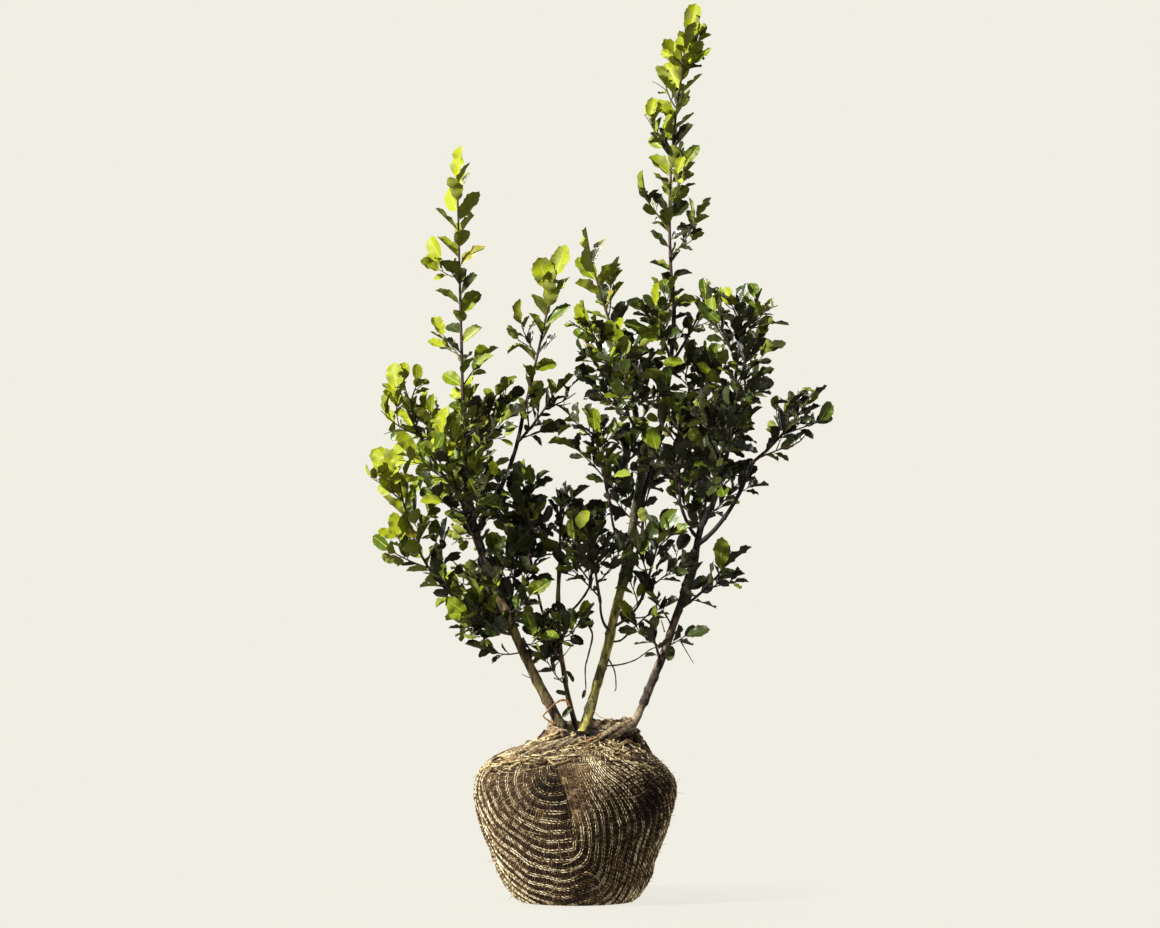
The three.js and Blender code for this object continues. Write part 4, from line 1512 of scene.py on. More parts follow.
@dataclass
class Netting:
    """The knitted jute net: rows of chain stitch, finer threads between and across them, and loose fibres.

    The rows run in arcs round centre as far as the fold, and upright beyond it. Gap is their distance.
    """

    shape: BallShape
    gap: float = 13.2
    squeeze: float = 1.22
    centre: Pair = (-32.0, 198.0)
    front: float = 0.8
    girth: float = 140.0
    fold_start: float = 118.0
    fold_heights: tuple[float, ...] = (70, 95, 115, 138, 168, 201)
    fold_edges: tuple[float, ...] = (-2, -2, -4, -10, -18, -34)
    columns: int = 760
    rows: int = 150
    top: float = 214.0
    step: float = 2.1
    stitch: float = 6.2
    thread: float = 0.6
    spread: float = 1.8
    shades: tuple[Shade, ...] = (
        # Painted shade in the hollow inside the U-shaped rows.
        Shade(-34, 170, 24, 22, 0.26),
        # Painted shade on the upper right, turned from the key light.
        Shade(116, 148, 30, 32, 0.5),
        # Painted shadow under the straw roll on the left shoulder.
        Shade(-60, 199, 20, 6, 0.4),
        # Two darker patches low on the front.
        Shade(14, 30, 20, 50, 0.16),
        Shade(78, 70, 22, 60, 0.1),
        # Painted shade along the crease of the fold.
        Shade(-8, 132, 14, 30, 0.12),
    )

    def unrolled(self, angle: Array) -> Array:
        """Finds how far aside from the ball's front an angle lies, as it looks from there.

        Args:
            angle: the angle round the ball.

        Returns:
            The distance, which is below 0 at the left.
        """
        turn = angle + math.pi / 2
        beyond = np.maximum(np.abs(turn) - self.front, 0)
        seen = np.sin(np.minimum(np.abs(turn), self.front)) + math.cos(self.front) * beyond
        return np.sign(turn) * self.girth * seen

    def row_number(self, angle: Array, height: Array) -> Array:
        """Finds the field whose whole steps are the rows of stitches.

        Args:
            angle: the angle round the ball.
            height: the height.

        Returns:
            The field's values.
        """
        aside, height = np.broadcast_arrays(self.unrolled(angle), height)
        below = np.minimum(height - self.centre[1], 0)
        wobble = 2.2 * ripple(np.stack([aside, height], axis=-1), 40, 77)
        offset = aside - self.centre[0]
        nested = np.hypot(np.where(offset < 0, self.squeeze * offset, offset), below) + wobble
        edge = np.interp(height, self.fold_heights, self.fold_edges)
        lean = 42 * rise(128, 214, height) * rise(-30, 60, aside) * rise(230, 150, aside)
        upright = self.fold_start + 1.16 * (aside + lean - edge) + wobble
        joined = np.logaddexp(nested / 7, upright / 7) * 7
        right = np.where(height > 66, aside > edge, aside > -38)
        return np.where(right, joined, nested) / self.gap

    def folded(self, aside: Array, height: Array) -> Array:
        """Finds how buried the rows are in the smooth cloth beside the fold.

        Args:
            aside: how far round the ball from its front.
            height: the height.

        Returns:
            1 where they are buried, and 0 where they lie free.
        """
        beside = aside - np.interp(height, self.fold_heights, self.fold_edges)
        wide = np.interp(height, (100, 140, 165, 190), (3, 17, 31, 46))
        reach = rise(wide + 12, wide - 10, beside)
        return rise(-1, 3, beside) * reach * rise(94, 118, height) * rise(210, 196, height)

    def light(self, aside: Array, height: Array) -> Array:
        """Finds the cloth's painted light and shade: palest at the lit left and shoulder, darker at both
        edges.

        Args:
            aside: how far round the ball from its front.
            height: the height.

        Returns:
            Tones from about 0 to 1.
        """
        # Painted light: paler towards the lit left and the shoulder, darker towards the right, away from
        # the key light.
        tone = 0.7 + 0.08 * rise(-50, -120, aside) + 0.06 * rise(165, 205, height)
        tone = tone - 0.12 * rise(30, 110, aside)
        # Painted shade at the far left edge, where the key light gives a bright rim, and low down at the
        # left.
        tone = tone - 0.4 * rise(-130, -172, aside) - 0.16 * rise(-110, -170, aside) * rise(50, 10, height)
        # The painted shade patches.
        for shade in self.shades:
            tone = tone - shade.at(aside, height)
        return tone

    def lines(self, offset: float) -> list[Array]:
        """Follows every row over the ball.

        Args:
            offset: 0 for the rows themselves, or how far past each row the line runs.

        Returns:
            For each row, its places as pairs of an angle and a share of the outline.
        """
        angles = np.linspace(*ROUND, self.columns)
        shares = np.linspace(0.0, self.shape.share_at(self.top), self.rows)
        heights = self.shape.level(shares)[1]
        values = self.row_number(angles[:, None], heights[None, :])
        found: list[Array] = []
        for level in range(1, int(values.max()) + 1):
            found.extend(self._trace(values - level - offset, angles, shares))
        return found

    def _trace(self, values: Array, angles: Array, shares: Array) -> list[Array]:
        """Links the places where a grid of values crosses 0 into lines.

        Args:
            values: the grid, column by column.
            angles: the angle of each column.
            shares: the share of each row.

        Returns:
            The lines.
        """
        values = np.where(values == 0, 1e-9, values)
        # An edge of the grid goes by its kind, 0 between columns and 1 between rows, its column and its row
        places: dict[Edge, Pair] = {}
        pairs = ((values[:-1], values[1:]), (values[:, :-1], values[:, 1:]))
        for kind, (here, after) in enumerate(pairs):
            for i, j in np.argwhere((here * after < 0) & (np.abs(here - after) < 1)):
                share = here[i, j] / (here[i, j] - after[i, j])
                if kind:
                    places[kind, i, j] = (angles[i], between(shares[j], shares[j + 1], share))
                else:
                    places[kind, i, j] = (between(angles[i], angles[i + 1], share), shares[j])
        links: dict[Edge, list[Edge]] = {key: [] for key in places}
        cells = {(i - side * kind, j - side * (1 - kind)) for kind, i, j in places for side in (0, 1)}
        for i, j in cells:
            sides = [key for key in ((0, i, j), (0, i, j + 1), (1, i, j), (1, i + 1, j)) if key in places]
            if len(sides) == 2:
                links[sides[0]].append(sides[1])
                links[sides[1]].append(sides[0])
        lines = []
        seen: set[Edge] = set()
        ends = sorted(key for key, joined in links.items() if len(joined) == 1)
        for start in [*ends, *sorted(places)]:
            if start in seen:
                continue
            line, here = [start], start
            seen.add(start)
            while True:
                onward = [key for key in links[here] if key not in seen]
                if not onward:
                    break
                here = onward[0]
                seen.add(here)
                line.append(here)
            if len(line) > 6:
                lines.append(np.array([places[key] for key in line]))
        return lines

    def even_steps(self, line: Array, step: float) -> Array:
        """Spaces a line's places evenly over the ball.

        Args:
            line: its places.
            step: the distance between the new places.

        Returns:
            The new places.
        """
        points = self.shape.on(line[:, 0], line[:, 1])
        reached = np.concatenate([[0], np.cumsum(np.linalg.norm(np.diff(points, axis=0), axis=1))])
        where = np.arange(0, reached[-1], step)
        return np.stack([np.interp(where, reached, column) for column in line.T], axis=1)

    def frame_on(self, places: Array) -> tuple[Array, Array, Array]:
        """Finds a line on the ball.

        Args:
            places: its places.

        Returns:
            Its points, its outward directions and its directions across.
        """
        points = self.shape.on(places[:, 0], places[:, 1])
        nudge = 0.004
        round_it = self.shape.on(places[:, 0] + nudge, places[:, 1]) - points
        up_it = self.shape.on(places[:, 0], places[:, 1] + nudge) - points
        outwards = unit(np.cross(round_it, up_it))
        return points, outwards, unit(np.cross(along(points), outwards))

    def tones(self, places: Array) -> tuple[Array, Array]:
        """The net's painted light and shade and how buried it is at a line's places."""
        aside, height = self.unrolled(places[:, 0]), self.shape.level(places[:, 1])[1]
        return self.light(aside, height), self.folded(aside, height)

    def make(self) -> None:
        """Makes the stitches, the finer threads and the loose fibres."""
        chance = np.random.default_rng(31)
        stitches = [Sheaf("net_stitches_front"), Sheaf("net_stitches_back")]
        threads = Sheaf("net_cross_threads")
        for line in self.lines(0.0):
            places = self.even_steps(line, self.step)
            if len(places) > 4:
                self._stitch(stitches, places, chance)
                self._cross(threads, line, chance)
        fine = Sheaf("net_fine_threads")
        for line in [*self.lines(0.25), *self.lines(0.76)]:
            self._fine(fine, line)
        self._loose(fine, chance)
        yarn = YARN.make()
        for sheaf in stitches:
            sheaf.make(yarn, "cloth", ["root_ball"])
        fine.make(STRAW.make(), "cloth", ["root_ball"])
        threads.make(CROSS.make(), "cloth", ["root_ball"])

    def _stitch(self, sheaves: list[Sheaf], places: Array, chance: np.random.Generator) -> None:
        """Adds a row of chain stitch: two threads side by side, with painted highlights in dashes.

        Args:
            sheaves: the meshes of the front and the back.
            places: the row's places.
            chance: the stream of numbers that makes it uneven.
        """
        points, outwards, across = self.frame_on(places)
        phase = np.arange(len(places)) * self.step * 2 * math.pi / self.stitch + chance.uniform(0, 6)
        uneven = 1 + 0.35 * ripple(points, 13, 5)
        light, folded = self.tones(places)
        # The row takes the cloth's painted light and shade.
        tone = light + 0.06 + 0.34 * ripple(points, 7, 15) + 0.16 * ripple(points, 27, 16) - 0.3 * folded
        front = np.mean(points[:, 1]) < 0
        for side in (-1, 1):
            sway = self.spread * side * (0.8 + 0.22 * np.cos(phase)) * uneven
            lift = 1.5 + 0.4 * np.sin(phase + side) - 1.3 * folded
            path = points + across * sway[:, None] + outwards * lift[:, None]
            path[:, 2] = np.maximum(path[:, 2], 0.8)
            thick = self.thread * (1 + 0.18 * np.cos(phase + side)) * uneven
            # Painted highlight: each thread is painted paler once a stitch, in dashes, with random specks.
            lit = tone + 0.3 * np.cos(phase + side) + chance.normal(0, 0.12, len(tone))
            sheaves[0 if front else 1].add_tube(path, thick, 3, np.repeat(lit, 3), outwards)

    def _fine(self, sheaf: Sheaf, line: Array) -> None:
        """Adds a thin, wavering thread between two rows.

        Args:
            sheaf: the mesh that it goes into.
            line: its places.
        """
        places = self.even_steps(line, 4.0)
        if len(places) < 5:
            return
        points, outwards, across = self.frame_on(places)
        light, folded = self.tones(places)
        wander = 1.5 * ripple(points, 12, 61)
        path = points + across * wander[:, None] + outwards * (0.9 + 0.4 * ripple(points, 9, 62))[:, None]
        path[:, 2] = np.maximum(path[:, 2], 0.6)
        # The thread takes the cloth's painted light and shade, darker overall.
        tone = light - 0.24 + 0.3 * ripple(points, 10, 63) + 0.1 * folded
        sheaf.add_tube(path, 0.4 * (1 + 0.3 * ripple(points, 7, 64)), 3, np.repeat(tone, 3), outwards)

    def _cross(self, sheaf: Sheaf, line: Array, chance: np.random.Generator) -> None:
        """Adds the threads that run from a row to the next one.

        Args:
            sheaf: the mesh that they go into.
            line: the row's places.
            chance: the stream of numbers that makes them uneven.
        """
        places = self.even_steps(line, 3.2)
        if len(places) < 5:
            return
        points, _, across = self.frame_on(places)
        # The cross threads take the cloth's painted light and shade, darker overall.
        tone = self.tones(places)[0] - 0.16
        share = np.linspace(-0.1, 1.05, 3)[:, None]
        reach = self.gap * chance.uniform(0.6, 1.0, len(points))
        leans = along(points) * chance.uniform(-1.2, 1.2, (len(points), 1))
        for place, point in enumerate(points):
            path = self._settle(point + share * across[place] * reach[place] + share**2 * leans[place], 0.9)
            thick = 0.5 * chance.uniform(0.6, 1.4)
            sheaf.add_tube(path, thick, 3, tone[place] + chance.uniform(-0.26, 0.26))

    def _settle(self, path: Array, proud: float) -> Array:
        """Moves a path onto the ball's surface.

        Args:
            path: the path.
            proud: how far it stays above the cloth.

        Returns:
            The moved path.
        """
        heights = np.clip(path[:, 2], 0.6, 236)
        neck, depth = self.shape.squash(heights)
        angles = np.arctan2(path[:, 1] / depth, path[:, 0] - self.shape.neck_shift * neck)
        return self.shape.on(angles, self.shape.share_at(heights), proud)

    def _loose(self, sheaf: Sheaf, chance: np.random.Generator) -> None:
        """Adds stray fibres: short ones that stand off the net and long ones that lie on it.

        Args:
            sheaf: the mesh that they go into.
            chance: the stream of numbers that places them.
        """
        share = np.linspace(0, 1, 5)[:, None]
        for _ in range(440):
            start = self.shape.on(chance.uniform(-math.pi, math.pi), chance.uniform(0.02, 0.86), 0.8)
            outwards = unit(start - np.array([0, 0, 110.0]))
            reach = chance.uniform(3, 9)
            path = start + share * outwards * reach * 0.45 + share**2 * unit(chance.normal(size=3)) * reach
            path[:, 2] = np.maximum(path[:, 2], 1.0)
            sheaf.add_tube(path, np.linspace(0.34, 0.16, 5), 3, chance.uniform(0.4, 0.9))
        for _ in range(60):
            angle, height = chance.uniform(-math.pi, math.pi), chance.uniform(20, 190)
            sweep = angle + chance.uniform(-0.25, 0.25) * np.linspace(0, 1, 9) ** 2
            climb = height + chance.uniform(-26, 26) * np.linspace(0, 1, 9)
            path = self.shape.on(sweep, self.shape.share_at(np.clip(climb, 2, 205)), 2.4)
            # The long fibres take the cloth's painted light and shade where they lie.
            light = self.light(self.unrolled(sweep), climb).mean()
            sheaf.add_tube(path, 0.36, 3, light + chance.uniform(-0.2, 0.2))


@dataclass(frozen=True)
class Flow:
    """A group of straw bundles that run alike over the shoulder, from one stretch of the ball to another.

    Each stretch is a range of angles and one of heights. Pale is how bleached the straw is, and proud how
    far the highest bundle stands off the ball.
    """

    count: int
    start_angles: Pair
    start_heights: Pair
    end_angles: Pair
    end_heights: Pair
    pale: float
    proud: float = 5.0


@dataclass
class RootBall:
    """The ball's skin of soil and jute, its tied neck and the cloth round the stems' feet."""

    shape: BallShape
    netting: Netting
    sacking: bpy.types.Material = field(default_factory=SACKING.make)
    columns: int = 340
    rows: int = 124
    collar_long: float = 59.0
    collar_deep: float = 35.0
    tie_low: float = 221.0
    tie_rise: float = 17.0
    flows: tuple[Flow, ...] = (
        Flow(3, (-3.1, -2.8), (184, 196), (-2.4, -1.9), (202, 210), 0.5, 9.0),
        Flow(5, (-3.0, -2.8), (180, 190), (-2.8, -2.6), (204, 210), 0.5, 7.0),
        Flow(5, (-2.75, -2.55), (185, 193), (-2.55, -2.3), (206, 212), 0.52, 7.0),
        Flow(5, (-2.5, -2.3), (188, 197), (-2.3, -2.05), (206, 213), 0.52, 7.0),
        Flow(4, (-2.25, -2.05), (193, 201), (-2.05, -1.8), (207, 214), 0.44, 7.0),
        Flow(7, (-2.7, -2.1), (201, 209), (-1.8, -1.3), (203, 211), 0.56, 9.0),
        Flow(5, (-2.9, -2.2), (208, 214), (-2.1, -1.3), (213, 219), 0.1, 2.0),
        Flow(8, (-3.1, -2.3), (206, 214), (-2.5, -1.7), (222, 240), 0.62, 9.0),
        Flow(6, (-2.6, -1.9), (208, 222), (-1.9, -1.4), (226, 236), 0.35, 6.0),
        Flow(7, (-2.9, -1.9), (206, 220), (-2.7, -1.5), (218, 238), 0.7, 9.0),
        Flow(6, (-2.2, -1.2), (222, 240), (-2.4, -1.3), (206, 216), 0.45, 7.0),
        Flow(7, (-1.9, -1.3), (206, 216), (-1.9, -1.2), (222, 232), 0.6, 7.0),
        Flow(9, (-1.62, -1.3), (216, 230), (-1.15, -0.3), (186, 206), 0.6),
        Flow(8, (-0.9, 0.2), (232, 238), (-0.8, 0.5), (204, 212), 0.3, 3.0),
        Flow(6, (-1.5, -1.1), (222, 230), (-0.9, 0.1), (206, 222), 0.4),
        Flow(20, (0.1, 3.1), (192, 210), (0.3, 2.9), (220, 238), 0.45),
    )

    def make(self) -> None:
        """Makes every piece of the ball."""
        self._skin()
        self._soil()
        self._collar()
        self._tie()
        self._knot()
        self._gathers()

    def _skin(self) -> None:
        """Makes the skin, which bulges between the rows of the net and pleats into the neck."""
        angles = np.linspace(*ROUND, self.columns, endpoint=False)
        radius, height = self.shape.level(np.linspace(0.0, 1.0, self.rows))
        angle, level = np.meshgrid(angles, height)
        body = rise(214, 196, level)
        bulge = np.sin(math.pi * self.netting.row_number(angle, level)) ** 2 * body
        points = self.shape.point(angle, radius[:, None], level)
        crumbs = 0.45 * ripple(points, 5.0, 3) + 0.25 * ripple(points, 3.4, 13)
        pleats = rise(198, 216, level) * (2.2 * np.sin(31 * angle + level / 9) + 1.4 * np.sin(17 * angle))
        proud = (0.7 * bulge + crumbs + pleats) * rise(0, 9, level) + self.shape.relief(angle, level)
        points = self.shape.point(angle, radius[:, None] + proud, level)
        aside = self.netting.unrolled(angle)
        light = self.netting.light(aside, level)
        # The skin takes the net's painted light and shade; it is painted paler towards the lit left and
        # darker at the far-left edge, against the bright rim there.
        tone = light - 0.25 + 0.38 * self.netting.folded(aside, level) + 0.12 * ripple(points, 19, 8)
        tone = tone - 0.22 * bulge + 0.18 * ripple(points, 7, 9) + 0.2 * rise(-70, -130, aside)
        # Painted shade: the skin is darkened at the neck, above about 200 mm, under the tie and the
        # gathered straw.
        tone = tone - 0.4 * rise(198, 212, level) - 0.14 * rise(-140, -176, aside)
        # Painted light: above about 210 mm it is painted paler again at the right and the left, to lift the
        # shade under the lip and the tie.
        tone = tone + rise(208, 222, level) * (0.5 * rise(10, 60, aside) + 0.45 * rise(-30, -80, aside))
        ends = np.array([[0.0, 0.0, 0.0], [self.shape.neck_shift, 0.0, SOIL - 2]])
        sheaf = Sheaf("ball_skin")
        faces = [ring_faces(self.rows, self.columns), *caps(self.rows, self.columns)]
        sheaf.add(np.vstack([points.reshape(-1, 3), ends]), faces, np.append(tone, [0.2, 0.2]))
        sheaf.make(SKIN.make(), "cloth", ["root_ball"])

    def _soil(self) -> None:
        """Makes the crumbs of soil that lie inside the collar."""
        sheaf = Sheaf("soil_top")
        chance = np.random.default_rng(12)
        for _ in range(300):
            reach = math.sqrt(chance.uniform(0, 1))
            angle = chance.uniform(0, 2 * math.pi)
            across = self.shape.neck_shift + 54 * reach * math.cos(angle)
            middle = np.array([across, 31 * reach * math.sin(angle), SOIL - 5])
            size = chance.uniform(1.4, 3.6)
            path = middle + np.linspace(-0.9, 0.9, 5)[:, None] * unit(chance.normal(size=3)) * size
            radii = size * np.sqrt(1.02 - np.linspace(-1, 1, 5) ** 2) * chance.uniform(0.7, 1.0, 5)
            sheaf.add_tube(path, radii, 5, chance.uniform(0.2, 0.8))
        sheaf.make(CRUMBS.make(), "cloth", ["root_ball"])

    def _collar(self) -> None:
        """Makes the rumpled lip of cloth round the stems' feet, with a flap at the left."""
        sheaf = Sheaf("cloth_lip")
        angles = np.linspace(0, 2 * math.pi, 300, endpoint=False)
        right, back = np.cos(angles), np.sin(angles)
        raised = 7 * rise(0.3, 1, right) + 4 * rise(0.6, 1, -right) + 5 * rise(0, 0.7, back)
        raised = raised + 6 * np.exp(-(((angles - 3.35) / 0.15) ** 2))
        lowered = 8 * rise(0.2, 0.9, -back) * rise(0.8, 0.2, right)
        height = SOIL + raised - lowered + 1.5 * np.sin(5 * angles + 0.8)
        across = self.shape.neck_shift + self.collar_long * right
        middle = np.stack([across, self.collar_deep * back, height], axis=-1)
        outwards = np.stack([right, back, 0 * angles], axis=-1)
        heights = np.linspace(-11, 7, 12)
        sides = []
        for face in (1.0, -1.0):
            for up in heights if face > 0 else heights[::-1]:
                crumple = 1.5 * np.sin(17 * angles + up / 3) + 1.0 * np.sin(41 * angles - up / 2)
                crumple = crumple + 0.7 * np.sin(67 * angles + up)
                torn = (1.4 * np.sin(13 * angles) + 0.7 * np.sin(37 * angles + 1)) * rise(0, 7, up)
                lean = crumple * rise(-13, 6, up) + face * (0.7 + 1.4 * rise(4, -10, up)) - 0.3 * up
                sides.append(middle + outwards * lean[:, None] + UP * (up + torn)[:, None])
        points = np.concatenate(sides)
        # Painted light: the lip is painted paler at the lit left, and at the right and the back, where it
        # lies in shade.
        tone = 0.6 + 0.3 * ripple(points, 5, 6) + 0.12 * rise(20, -30, points[:, 0])
        tone = tone + 0.2 * rise(30, 75, points[:, 0]) + 0.24 * rise(0, 25, points[:, 1])
        sheaf.add(points, [ring_faces(len(sides), len(angles))], tone)
        sheaf.make(self.sacking, "cloth", ["cloth_collar"])

    def _twisted(self, sheaf: Sheaf, path: Array, thick: Array, turns: float, tone: float) -> None:
        """Adds a twisted roll of cloth.

        Args:
            sheaf: the mesh that it goes into.
            path: its middle line.
            thick: its radius at each point.
            turns: how often its folds go round it.
            tone: how pale it is.
        """
        sides = 18
        around = np.arange(sides) * 2 * math.pi / sides
        twist = np.linspace(0, turns * 2 * math.pi, len(path))[:, None] + around[None]
        folds = 1 + 0.2 * np.sin(3 * twist) + 0.09 * np.sin(7 * twist + 1) + 0.05 * np.sin(11 * twist)
        # Painted light and shade: the folds' ridges are painted paler and their grooves darker.
        lit = tone + 0.24 * np.sin(3 * twist) + 0.16 * np.sin(7 * twist + 1)
        sheaf.add_tube(path, thick[:, None] * folds, sides, lit, ends=0.4)

    def _tie(self) -> None:
        """Makes the twisted roll of cloth that ties the neck, and a shorter one below it at the left."""
        angles = np.linspace(-math.pi, math.pi, 240)
        height = self.tie_low + self.tie_rise * rise(-1, 1.2, np.cos(angles))
        path = self.shape.on(angles, self.shape.share_at(height), 1.5)
        sheaf = Sheaf("cloth_roll")
        self._twisted(sheaf, path, np.full(len(path), 3.6), 5, 0.4)
        share = np.linspace(0, 1, 70)
        height = between(207, 230, share) + 1.5 * np.sin(9 * share)
        path = self.shape.on(between(-2.8, -1.6, share), self.shape.share_at(height), 4.0)
        self._twisted(sheaf, path, 5.2 * np.sqrt(np.sin(math.pi * between(0.06, 0.94, share))), 2.2, 0.6)
        sheaf.make(self.sacking, "cloth", ["cloth_tie"])

    def _knot(self) -> None:
        """Makes the knot in front, and the roll of cloth that runs up from it to the right-hand stem."""
        sheaf = Sheaf("cloth_knot")
        knots = ((16, -45, 224), (27, -45, 227), (46, -40, 235), (66, -29, 244), (83, -13, 252))
        path = smooth_path(np.array(knots, float), 14)
        share = np.linspace(0, 1, len(path))
        self._twisted(sheaf, path, 7.2 * np.sqrt(np.sin(math.pi * (0.06 + 0.86 * share))), 0.45, 0.56)
        chance = np.random.default_rng(8)
        middle = np.array([18.0, -47.0, 225.0])
        for number in range(14):
            angle = chance.uniform(0, 2 * math.pi)
            way = np.array([math.cos(angle), 0.15, math.sin(angle) * 0.6]) * chance.uniform(6, 12)
            bow = np.array([0, -chance.uniform(2, 4), 0])
            shift = chance.normal(size=3) * np.array([4, 1.0, 2.2])
            strand = bowed(middle + shift - way, middle + shift + way, bow, 9)
            wobble = 0.7 * np.sin(np.linspace(0, 9, 10) + number)
            thick = 1.3 * (1 - 0.35 * np.linspace(-1, 1, 10) ** 2)
            sheaf.add_tube(strand + UP * wobble[:, None], thick, 5, chance.uniform(0.3, 1.0))
        sheaf.make(self.sacking, "cloth", ["cloth_knot"])

    def _gathers(self) -> None:
        """Makes the net's straw, gathered in twisted bundles over the shoulder into the neck."""
        sheaf = Sheaf("gathered_straw")
        chance = np.random.default_rng(21)
        share = np.linspace(0, 1, 16)
        for flow in self.flows:
            for _ in range(flow.count):
                start, end = chance.uniform(*flow.start_angles), chance.uniform(*flow.end_angles)
                low, high = chance.uniform(*flow.start_heights), chance.uniform(*flow.end_heights)
                sweep = between(start, end, share) + 0.08 * np.sin(8 * share + start * 9)
                sweep = sweep + 0.03 * np.sin(19 * share + end * 9)
                level = between(low, high, share)
                for sway, waves in ((3.4, 9), (2.4, 21)):
                    sway = chance.uniform(-sway, sway)
                    level = level + sway * np.sin(waves * share + chance.uniform(0, 6))
                proud = 1.0 + chance.uniform(0.6, flow.proud) * np.sin(math.pi * share)
                path = self.shape.on(sweep, self.shape.share_at(level), proud)
                self._bundle(sheaf, path, flow.pale + chance.uniform(-0.5, 0.36), chance)
        for _ in range(120):
            start = chance.uniform(-math.pi, math.pi)
            sweep = start + chance.normal() * 0.3 * share[::2]
            level = np.clip(chance.uniform(192, 226) + chance.uniform(-12, 12) * share[::2], 186, 238)
            path = self.shape.on(sweep, self.shape.share_at(level), chance.uniform(1.5, 4.5))
            sheaf.add_tube(path, chance.uniform(0.35, 0.6), 3, chance.uniform(0.4, 1.0))
        sheaf.make(STRAW.make(), "cloth", ["root_ball"])

    def _bundle(self, sheaf: Sheaf, path: Array, tone: float, chance: np.random.Generator) -> None:
        """Adds a bundle: a few strands twisted loosely round each other.

        Args:
            sheaf: the mesh that it goes into.
            path: its middle line.
            tone: how pale it is.
            chance: the stream of numbers that makes it uneven.
        """
        normals = steady_normals(path)
        others = np.cross(along(path), normals)
        count = len(path)
        wide = chance.uniform(1.0, 2.5) * (0.7 + 0.3 * np.sin(np.linspace(0, chance.uniform(5, 11), count)))
        turns = chance.uniform(2, 7)
        for strand in range(4):
            turn = strand * math.pi / 2 + np.linspace(0, turns, count)
            offset = normals * (wide * np.cos(turn))[:, None] + others * (wide * np.sin(turn))[:, None]
            thick, paler = chance.uniform(0.55, 1.2), chance.uniform(-0.34, 0.26)
            # Painted light and shade: each strand is painted paler and darker by turns as its twist takes
            # it round the bundle.
            lit = tone + 0.16 * np.repeat(np.cos(turn), 4) + paler
            sheaf.add_tube(path + offset, thick, 4, lit, ends=0.5 + paler)


# Dry bits


@dataclass(frozen=True)
class DryTwig:
    """A bare or dead twig: its thickness at the foot and the places that it runs through."""

    thick: float
    knots: tuple[Triple, ...]


@dataclass
class DryBits:
    """Bare twigs, dried stalks and the odd leaves between the stems, below the crown.

    Each odd leaf is its root, its tip and its width.
    """

    twigs: tuple[DryTwig, ...] = (
        DryTwig(1.7, ((53, 8, 363), (64, 0, 366), (80, -8, 382), (101, -16, 402), (119, -20, 424))),
        DryTwig(1.4, ((40, 4, 329), (62, 4, 331), (84, 6, 338), (104, 8, 352), (121, 10, 358))),
        DryTwig(1.2, ((60, 8, 388), (72, 12, 400), (92, 20, 424), (104, 22, 442))),
        DryTwig(1.3, ((45, 2, 340), (54, -2, 322), (56, -6, 300), (54, -8, 294))),
        DryTwig(1.0, ((146, -20, 365), (155, -24, 349), (164, -28, 334))),
        DryTwig(1.0, ((132, 2, 388), (126, -4, 401), (121, -8, 405))),
        DryTwig(1.0, ((124, -2, 377), (120, -6, 391), (119, -8, 394))),
        DryTwig(0.9, ((-57, -12, 314), (-66, -16, 314), (-76, -20, 319))),
        DryTwig(0.9, ((-29, 24, 329), (-10, 20, 352), (-4, 16, 362))),
        DryTwig(
            2.0,
            ((20, -8, 406), (15, -8, 392), (23, -10, 373), (17, -10, 344), (13, -10, 326), (14, -10, 297)),
        ),
    )
    stalks: tuple[DryTwig, ...] = (
        DryTwig(
            2.1,
            (
                *((-8, -16, 273), (-14, -18, 282), (-26, -20, 280)),
                *((-40, -22, 267), (-45, -22, 259), (-28, -20, 248)),
            ),
        ),
        DryTwig(0.6, ((22, -20, 270), (32, -22, 260), (42, -22, 256), (56, -24, 250))),
        DryTwig(2.2, ((12, -50, 226), (20, -52, 229), (29, -51, 232), (34, -48, 238))),
    )
    leaves: tuple[tuple[Triple, Triple, float], ...] = (
        ((26, -8, 406), (-9, -12, 396), 11.0),
        ((-5, -14, 274), (-20, -18, 259), 10.0),
        ((-12, 14, 289), (-29, 10, 292), 8.0),
        ((-14, 14, 322), (-2, 8, 307), 8.0),
        ((9, -6, 284), (13, -8, 297), 6.0),
        ((134, -10, 358), (128, -16, 337), 14.0),
    )

    def make(self) -> None:
        """Makes the twigs, the stalks and the odd leaves."""
        for name, finish, bits in (
            ("dead_twigs", Bark.TWIG.value, self.twigs),
            ("dried_stalks", Bark.DRIED.value, self.stalks),
        ):
            sheaf = Sheaf(name)
            for number, bit in enumerate(bits):
                path = smooth_path(np.array(bit.knots, float), 5)
                count = len(path)
                radii = np.linspace(bit.thick, bit.thick * 0.45, count)
                radii = radii * (1 + 0.14 * np.sin(np.arange(count) * 2.1 + number))
                sheaf.add_tube(path, radii, 6)
            sheaf.make(finish.make(), "twig")
        self._odd_leaves()

    def _odd_leaves(self) -> None:
        """Makes the odd leaves."""
        leaves = []
        for place, tip, width in self.leaves:
            root = np.array(place, float)
            way = np.array(tip, float) - root
            face = unit(np.cross(np.cross(unit(way), np.array([0.3, -1.0, 0.5])), unit(way)))
            leaves.append(Leaf(root, unit(way), face, float(np.linalg.norm(way)), width, Tint.DEEP, root))
        shapes = Blades(leaves, 9)
        sheaf = Sheaf("odd_leaves")
        sheaf.add(*shapes.tops())
        sheaf.add(*shapes.backs())
        sheaf.make(ODD_LEAF.make(), "leaf")


# The studio


